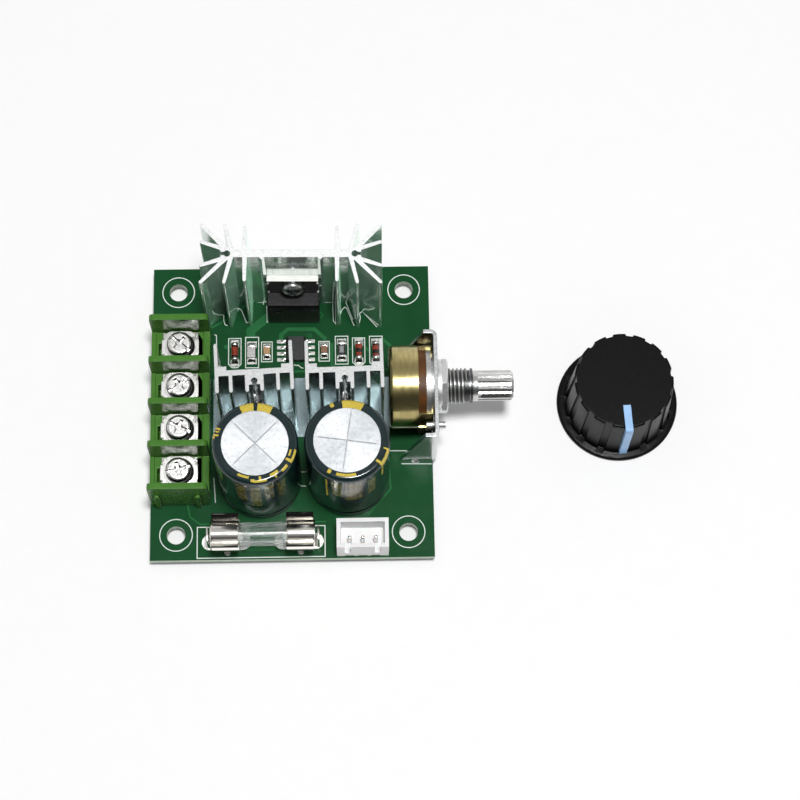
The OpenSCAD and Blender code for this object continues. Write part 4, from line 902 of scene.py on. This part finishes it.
class CONTROLLER_OT_packages(ControllerOperator, bpy.types.Operator):
    """Dress the three power packages with their leads, screws and nut"""

    bl_idname = "controller.packages"
    bl_label = "Power packages"

    def execute(self, context):
        body = self.epoxy()
        # The tab's faces that don't look up are painted dark by walls=0.1: painted shade.
        tab = drawn_metal("package_tab", "#ededea", 0.16, 0.25, (8, 1, 1), 0.006, cut=0.5, walls=0.1)
        leads = tin("package_leads", 0.5)
        screw = drawn_metal("dark_chrome", "#dadbdc", 0.24, 0.32, depth=0.05, tone=0.42)
        for name in ("transistor", "left_device", "right_device"):
            finish_node(name + "_body", body, sizes().rounding)
            finish_node(name + "_tab", tab)
            finish_node(name + "_leads", leads)
        self.screws(screw)
        finish_node("transistor_nut", screw)
        return {"FINISHED"}

    def screws(self, finish):
        """The three screws. The transistor's plain head is drawn in, and a pan head with a cross covers it."""
        piece = copy_of("package_screws", "package_screws_piece")
        behind, front = 15 * MM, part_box("transistor_tab")[0].y
        head = [v.co for v in piece.data.vertices if behind < v.co.y < front]
        low, high = (Vector(limit(p[axis] for p in head) for axis in range(3)) for limit in (min, max))
        seat = Vector(((low.x + high.x) / 2, front, (low.z + high.z) / 2))
        edit(piece)
        pick(piece, "VERT", lambda corner: behind < corner.co.y < front)
        bpy.ops.transform.resize(value=(0.55, 0.4, 0.55), center_override=seat)
        object_mode()
        soften(piece, sizes().break_edge)
        settle(piece, "package_screws", finish, replaces=True)
        self.pan_head(seat, front - low.y, (high.z - low.z) / 2, finish)

    def pan_head(self, seat, thick, radius, finish):
        """A domed head. The faces round its middle that make up a cross are pushed in."""
        profile = ((0, 0.98), (0.2, 1), (0.42, 0.97), (0.64, 0.87), (0.84, 0.7), (0.95, 0.5), (1, 0.3), (1, 0.14),
                   (1, 0.0005))
        points = [(along * thick, out * radius) for along, out in profile]
        piece = spin_profile("transistor_pan_head", points, seat, Vector((0, -1, 0)), 32)
        # The cross: how far out it goes for its spread in degrees on both sides of each arm
        cross, cross_turn = ((0.14, 46), (0.36, 26), (0.6, 12)), 28

        def in_cross(face):
            away = face.calc_center_median() - seat
            turn = (math.degrees(math.atan2(away.z, away.x)) - cross_turn) % 90
            off = min(turn, 90 - turn)
            reach = away.xz.length / radius
            return -away.y > 0.74 * thick and any(reach < out and off < spread for out, spread in cross)

        edit(piece)
        pick(piece, "FACE", in_cross)
        bpy.ops.mesh.extrude_region_move(TRANSFORM_OT_translate={"value": (0, thick * 0.55, 0)})
        face_outwards(piece)
        settle(piece, "package_screws", finish)

    def epoxy(self):
        """Moulding compound, paler in blotches on the faces that look up."""
        finish = Finish("package_epoxy", Specular_IOR_Level=0.14)
        paler_top = finish.both(finish.facing_up(), finish.remap(finish.grain(0.8), 0.6, 1))
        finish.colour(finish.blend(paler_top, "#0c0c0d", "#363537"))
        finish.gloss(0.5, 0.32, 0.5)
        finish.relief(finish.grain(0.14), 0.015)
        return finish


class CONTROLLER_OT_capacitors(ControllerOperator, bpy.types.Operator):
    """Dress the two capacitors: cans, printed sleeves, bungs and leads"""

    bl_idname = "controller.capacitors"
    bl_label = "Capacitors"

    def execute(self, context):
        for side, turn in (("left", 45), ("right", -8)):
            centre = middle(side + "_capacitor_can")
            centre.z = BOARD_TOP
            finish_node(side + "_capacitor_can", can_aluminium(side + "_can", centre, turn), 0.02 * MM, 1)
            finish_node(side + "_capacitor_sleeve", printed_sleeve(side, centre), 0)
        finish_node("capacitor_bungs", moulded("bung_rubber", "#1b1b1b", 0.7))
        finish_node("capacitor_leads", tin("capacitor_lead_tin"), 0)
        return {"FINISHED"}


class CONTROLLER_OT_fuse(ControllerOperator, bpy.types.Operator):
    """Dress the fuse with its caps, glass, element and clips"""

    bl_idname = "controller.fuse"
    bl_label = "Fuse"

    def execute(self, context):
        finish_node("fuse_clips", self.spring_nickel())
        finish_node("fuse_caps", drawn_metal("cap_nickel", "#faf7f0", 0.13, 0.5), 0.25 * MM, 3)
        glass = Finish("fuse_glass", roughness=0.02, IOR=1.47, Transmission_Weight=1.0, Alpha=0.46, Coat_Weight=1.0,
                       Coat_Roughness=0.18, Coat_IOR=2.0)
        glass.colour(glass.mottle("#f6fbfa", "#e6f2ef", 1.5))
        finish_node("fuse_glass", glass, 0)
        finish_node("fuse_wire", tin("fuse_element", 0.4), 0.1 * MM)
        self.solder_beads()
        return {"FINISHED"}

    def spring_nickel(self):
        """Bright nickel, with dark bands painted along its slopes as painted reflection."""
        finish = drawn_metal("clip_nickel", "#faf7f0", 0.13, 0.5, (5, 1, 1), 0.008, 0.88)
        behind = finish.above(finish.axes(middle("fuse_clips"))[1], 0.0)
        dark_lip_reflection = finish.both(behind, finish.calc("SUBTRACT", finish.facing(1, 0.55), finish.facing(1, 0.86)))
        line = finish.calc("SUBTRACT", finish.facing(1, 0.55), finish.facing(1, 0.68))
        # Painted reflection: a dark band on the back lip and a dark line along the slopes.
        finish.colour(finish.blend(finish.either(dark_lip_reflection, line), "#faf7f0", "#45433f"))
        return finish

    def solder_beads(self):
        """The bead of solder that holds the element in each cap, seen through the glass."""
        across = middle("fuse_glass")
        cap_length = 5.35 * MM
        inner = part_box("fuse_caps")[0].x + cap_length
        profile = ((1.2, 0.001), (1.12, 0.4), (0.8, 0.78), (0.35, 1.0), (-0.6, 1.15), (-0.6, 0.001))
        points = [(along * MM, out * MM) for along, out in profile]
        metal = drawn_metal("fuse_solder", "#f8f8f4", 0.32, 0.6, depth=0.01)
        for name, place, way in (("left", inner, 1), ("right", 2 * across.x - inner, -1)):
            bead = spin_profile("fuse_solder_" + name, points, Vector((place, *across.yz)), Vector((way, 0, 0)), 24)
            soften(bead)
            settle(bead, "fuse_wire", metal)


class CONTROLLER_OT_connector(ControllerOperator, bpy.types.Operator):
    """Dress the three-pin connector"""

    bl_idname = "controller.connector"
    bl_label = "Connector"

    def execute(self, context):
        nylon = moulded("connector_nylon", colours().nylon, 0.42, 0.5, tone=0.93,
                        Subsurface_Weight=0.15, Subsurface_Scale=0.6 * MM)
        finish_node("connector_housing", nylon, sizes().rounding * 0.5)
        finish_node("connector_pins", tin("connector_tin", 0.4), sizes().break_edge * 0.5)
        return {"FINISHED"}


class CONTROLLER_OT_potentiometer(ControllerOperator, bpy.types.Operator):
    """Dress the potentiometer on its bracket, with the bushing's thread"""

    bl_idname = "controller.potentiometer"
    bl_label = "Potentiometer"

    def execute(self, context):
        zinc = drawn_metal("bracket_zinc", "#c8cacb", 0.2, 0.6, (1, 1, 6), 0.01, 0.86, cut=0.06)
        nickel = drawn_metal("nut_nickel", "#ecedec", 0.42, 0.4, depth=0.02, tone=0.8)
        plated = drawn_metal("cup_plating", colours().cup, 0.21, 0.5, (1, 6, 6), 0.008, 0.74)
        steel = drawn_metal("shaft_steel", "#dcdddb", 0.24, 0.16, (12, 1, 1), 0.02, 0.7)
        wafer = moulded("wafer_laminate", "#613a13", 0.45, 0.4, tone=0.6, Specular_IOR_Level=0.3)
        finish_node("pot_bracket", zinc, sizes().break_edge * 1.5)
        for node, finish in (("pot_cup", plated), ("pot_wafer", wafer), ("pot_washer", nickel), ("pot_nut", nickel)):
            finish_node(node, finish)
        for node, finish in (("pot_terminals", tin("terminal_tin")), ("pot_shaft", steel),
                             ("pot_clip", drawn_metal("clip_steel", "#5b5d60", 0.3))):
            finish_node(node, finish, sizes().break_edge * 0.5)
        finish_node("pot_rotor", moulded("rotor_acetal", "#ddd6c0", 0.4), 0)
        finish_node("pot_wiper", drawn_metal("wiper_brass", "#cdb168", 0.25), 0)
        casting = self.die_cast()
        self.casting(casting)
        self.thread(casting)
        return {"FINISHED"}

    def die_cast(self):
        """Die-cast zinc, painted darker between the threads as painted shade."""
        finish = Finish("zinc_casting", metallic=1.0)
        skin = finish.grain(0.35)
        crest, depth = THREAD_CREST / MM, sizes().thread_depth / MM
        painted_groove_shade = finish.remap(finish.reach(SHAFT_AXIS), 1, 0, crest - depth, crest - depth * 0.25)
        threaded = finish.above(finish.axes()[0], NUT_END)
        bright = finish.blend(finish.remap(skin, 0, 1), "#c9cac8", "#a9aaa9")
        # Painted shade in the thread's grooves past the nut.
        finish.colour(finish.blend(finish.both(painted_groove_shade, threaded), bright, "#4c4d4c"))
        finish.paint("Roughness", finish.remap(skin, 0.32, 0.5))
        finish.relief(skin, 0.03)
        return finish

    def casting(self, finish):
        """The cast plate and bushing. Past the nut the bushing is turned down to the thread's core."""
        piece = copy_of("pot_casting", "pot_casting_piece")
        for x in (NUT_END, NUT_END + 0.05 * MM):
            edit(piece)
            bpy.ops.mesh.bisect(plane_co=(x, 0, 0), plane_no=(1, 0, 0), threshold=MM / 10000)
        pick(piece, "VERT", lambda corner: corner.co.x > NUT_END + 0.02 * MM
             and (corner.co - SHAFT_AXIS).yz.length > BUSHING_RADIUS - 0.2 * MM)
        core = 1 - sizes().thread_depth / BUSHING_RADIUS
        bpy.ops.transform.resize(value=(1, core, core), center_override=(NUT_END, *SHAFT_AXIS.yz))
        object_mode()
        soften(piece)
        settle(piece, "pot_casting", finish, replaces=True)

    def thread(self, finish):
        """A ridge wound round the bushing, from inside the nut to the bushing's end."""
        pitch = sizes().thread_pitch
        half = pitch / 2
        root = THREAD_CREST - sizes().thread_depth - 0.03 * MM
        section = ((-half * 0.92, root), (-half * 0.12, THREAD_CREST), (half * 0.12, THREAD_CREST), (half * 0.92, root))
        piece = begin("bushing_thread")
        bpy.ops.mesh.primitive_circle_add(vertices=4, radius=MM, fill_type="NOTHING")
        mesh = bmesh.from_edit_mesh(piece.data)
        for corner, (along, out) in zip(mesh.verts, section):
            corner.co = (along, 0, out)
        bmesh.update_edit_mesh(piece.data)
        object_mode()
        first = NUT_END + 0.1 * MM
        turns = int((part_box("pot_casting")[1].x - half - 0.15 * MM - first) / pitch)
        piece.location = (first, *SHAFT_AXIS.yz)
        apply_modifier(piece, "Winding", "SCREW", axis="X", angle=2 * math.pi, screw_offset=pitch,
                       iterations=turns, steps=48, render_steps=48)
        bpy.ops.object.transform_apply(location=True, rotation=True, scale=True)
        edit(piece)
        bpy.ops.mesh.remove_doubles(threshold=MM / 5000)
        bpy.ops.mesh.fill_holes(sides=4)
        face_outwards(piece)
        settle(piece, "pot_casting", finish)


class CONTROLLER_OT_knob(ControllerOperator, bpy.types.Operator):
    """Dress the loose knob and its pointer"""

    bl_idname = "controller.knob"
    bl_label = "Knob"

    def execute(self, context):
        black = moulded("knob_plastic", colours().knob, 0.32, 0.12, 0.025, Specular_IOR_Level=0.11)
        finish_node("knob_body", black, sizes().rounding)
        finish_node("knob_pointer", moulded("pointer_plastic", colours().pointer, 0.4, 0.2))
        return {"FINISHED"}


class CONTROLLER_OT_small_parts(ControllerOperator, bpy.types.Operator):
    """Dress the control chip, the diodes, the resistors and the ceramic capacitors"""

    bl_idname = "controller.small_parts"
    bl_label = "Small parts"

    def execute(self, context):
        finish_node("chip_leads", tin("chip_tin", 0.4), sizes().break_edge * 0.5)
        finish_node("glass_diodes", self.beads(), 0)
        for node, finish in (("chip_body", self.chip()), ("diode_ends", tin("diode_tin", 0.4)),
                             ("chip_resistors", self.glaze()), ("ceramic_capacitors", self.ceramic()),
                             ("end_caps", tin("end_cap_tin", 0.3))):
            finish_node(node, finish)
        return {"FINISHED"}

    def chip(self):
        """Black compound with the round mark beside its first lead."""
        finish = Finish("chip_epoxy")
        radius = finish.polar(middle("chip_body") + Vector((-1.3, 1.8, 0)) * MM)[0]
        mark = finish.between(radius, -1, 0.3)
        finish.colour(finish.blend(mark, finish.mottle("#131316", "#0e0e10", 0.6), "#121214"))
        dull = finish.remap(finish.grain(0.4), 0.45, 0.6)
        finish.paint("Roughness", finish.calc("SUBTRACT", dull, finish.both(mark, 0.2)))
        finish.relief(finish.calc("SUBTRACT", finish.grain(0.12), finish.both(mark, 2)), 0.012)
        return finish

    def beads(self):
        """Orange glass over each diode's chip, with a dark cathode band."""
        finish = Finish("diode_glass", Coat_Weight=0.6, Coat_Roughness=0.04)
        x, y = finish.axes()[:2]
        bands = [finish.window((x, (at - 1) * MM, (at + 1) * MM), (y, low * MM, high * MM))
                 for at, low, high in ((-11.22, 10.6, 11.2), (-11.22, 12.95, 13.4), (13.37, 11.5, 12.3),
                                       (16.72, 11.2, 12.0), (16.72, 12.9, 13.4))]
        bead = colours().bead
        core = finish.mottle(bead, shade(bead, 0.3), 0.5, (1, 2, 1))
        finish.colour(finish.blend(finish.any_of(bands), core, "#1c0f0d"))
        finish.gloss(0.5, 0.08, 0.2)
        return finish

    def glaze(self):
        """Glazed resistors: the left one pale, the right one dark with a pale window."""
        finish = Finish("resistor_glaze")
        x, y = finish.axes()[:2]
        window = finish.window((x, 9.55 * MM, 10.35 * MM), (y, 11.7 * MM, 13.1 * MM))
        dark = finish.blend(window, "#26272a", "#8d9190")
        finish.colour(finish.blend(finish.below(x, 0.0), dark, finish.mottle("#d6d2d2", "#a9a4a6", 0.3)))
        finish.gloss(0.4, 0.2, 0.35)
        finish.relief(finish.grain(0.2), 0.01)
        return finish

    def ceramic(self):
        """Fired ceramic: the left one tan, the right one browner."""
        finish = Finish("capacitor_ceramic")
        tone = finish.blend(finish.below(finish.axes()[0], 0.0), "#8a5f40", "#c39a6c")
        speck = finish.remap(finish.grain(0.15), 0, 0.5)
        finish.colour(finish.blend(speck, tone, "#6e4a30"))
        finish.gloss(0.3, 0.3, 0.5)
        finish.relief(finish.grain(0.12), 0.01)
        return finish


class CONTROLLER_OT_stage(ControllerOperator, bpy.types.Operator):
    """Set the floor, the lights, the world and the camera"""

    bl_idname = "controller.stage"
    bl_label = "Stage"

    # The middle of the table that is seen, and the camera above its front edge, at the photograph's angle
    middle = (0.02, 0, 0)
    turn = math.radians(-3.435)
    rise = math.radians(72.32)
    roll = math.radians(2.458)
    distance = 449.15 * MM
    target = Vector((21.337, 1.81, 1.6)) * MM
    lens = 102.43

    # What metal and soft light take from the world
    soft_light = 0.22
    wall_light = 1.0
    ceiling_light = 0.46
    front_light = 0.12

    def execute(self, context):
        self.floor()
        self.world(context.scene)
        self.lamp()
        self.camera(context.scene)
        context.scene.view_settings.view_transform = "Standard"
        return {"FINISHED"}

    def floor(self):
        """A white table. It glows a little for the camera, metal and glass, and fully away from the lamp."""
        deselect()
        bpy.ops.mesh.primitive_plane_add(size=6, location=(0, 0, TABLE_TOP))
        floor = bpy.context.object
        floor.name = "floor"
        finish = Finish("floor_white", roughness=0.9, Specular_IOR_Level=0.0)
        speck = finish.remap(finish.grain(4), 0.9, 0.91)
        finish.colour(finish.add("CombineColor", {0: speck, 1: speck, 2: speck}).outputs[0])
        path = finish.add("LightPath").outputs
        seen = finish.any_of([path["Is Camera Ray"], path["Is Glossy Ray"], path["Is Transmission Ray"]])
        glow = finish.remap(finish.polar(self.middle)[0], 0.08, 0.85, 150, 900)
        finish.paint("Emission Color", (1, 1, 1))
        finish.paint("Emission Strength", finish.both(seen, glow))
        dress(floor, finish)

    def world(self, scene):
        """White for the camera and glass. Metal mirrors a dim ceiling, brighter walls and a dark front."""
        world = bpy.data.worlds.new("studio")
        scene.world = world
        world.use_nodes = True
        sky = Wiring(world.node_tree)
        path = sky.add("LightPath").outputs
        y, z = sky.add("SeparateXYZ", {0: sky.add("TexCoord").outputs["Generated"]}).outputs[1:]
        ceiling = sky.remap(z, self.wall_light, self.ceiling_light, 0.2, 0.8, interpolation_type="SMOOTHSTEP")
        front = sky.remap(y, self.front_light, 1.0, -0.75, -0.1, interpolation_type="SMOOTHSTEP")
        mirrored = sky.both(ceiling, front)
        strength = sky.add("Mix", {0: path["Is Glossy Ray"], 2: self.soft_light, 3: mirrored}).outputs[0]
        seen = sky.either(path["Is Camera Ray"], path["Is Transmission Ray"])
        strength = sky.add("Mix", {0: seen, 2: strength, 3: 1.0}).outputs[0]
        background = sky.tree.nodes["Background"].inputs
        sky.feed(background["Strength"], strength)
        sky.feed(background["Color"], (1, 1, 1))

    def lamp(self):
        """The key lamp, above the middle of the picture."""
        lamp = bpy.data.lights.new("key_light", "AREA")
        lamp.shape = "DISK"
        lamp.size = 0.17
        lamp.energy = 8.0
        holder = new_object("key_light", lamp)
        holder.location = (0.08, -0.08, 1.0)
        holder.rotation_euler = (holder.location - Vector(self.middle)).to_track_quat("Z", "Y").to_euler()

    def camera(self, scene):
        flat = math.cos(self.rise)
        back = Vector((math.sin(self.turn) * flat, -math.cos(self.turn) * flat, math.sin(self.rise)))
        right = (-back).cross(Vector((0, 0, 1))).normalized()
        up = back.cross(right)
        tilted_right = right * math.cos(self.roll) + up * math.sin(self.roll)
        tilted_up = -right * math.sin(self.roll) + up * math.cos(self.roll)
        data = bpy.data.cameras.new("camera")
        data.sensor_width = 36
        data.sensor_fit = "HORIZONTAL"
        data.lens = self.lens
        data.clip_start = 0.01
        camera = new_object("camera", data)
        camera.matrix_world = (Matrix.Translation(self.target + back * self.distance)
                               @ Matrix((tilted_right, tilted_up, back)).transposed().to_4x4())
        scene.camera = camera


STEPS = (CONTROLLER_OT_board, CONTROLLER_OT_print, CONTROLLER_OT_terminals, CONTROLLER_OT_heatsinks,
         CONTROLLER_OT_packages, CONTROLLER_OT_capacitors, CONTROLLER_OT_fuse, CONTROLLER_OT_connector,
         CONTROLLER_OT_potentiometer, CONTROLLER_OT_knob, CONTROLLER_OT_small_parts, CONTROLLER_OT_stage)


class CONTROLLER_PT_sidebar(bpy.types.Panel):
    """Sidebar panel that lists the sizes, the colours and the steps"""

    bl_label = "Speed controller"
    bl_idname = "CONTROLLER_PT_sidebar"
    bl_space_type = "VIEW_3D"
    bl_region_type = "UI"
    bl_category = "Controller"

    def draw(self, context):
        for group in (context.scene.controller_sizes, context.scene.controller_colours):
            for name in group.bl_rna.properties.keys():
                if name not in ("rna_type", "name"):
                    self.layout.prop(group, name)
        for step in STEPS:
            self.layout.operator(step.bl_idname)


CLASSES = (ControllerColours, ControllerSizes, *STEPS, CONTROLLER_PT_sidebar)


def register():
    for item in CLASSES:
        bpy.utils.register_class(item)
    bpy.types.Scene.controller_colours = bpy.props.PointerProperty(type=ControllerColours)
    bpy.types.Scene.controller_sizes = bpy.props.PointerProperty(type=ControllerSizes)


def unregister():
    del bpy.types.Scene.controller_sizes
    del bpy.types.Scene.controller_colours
    for item in reversed(CLASSES):
        bpy.utils.unregister_class(item)


def main():
    register()
    for step in STEPS:
        group, name = step.bl_idname.split(".")
        getattr(getattr(bpy.ops, group), name)()
    bpy.context.view_layer.update()


if __name__ == "__main__":
    main()
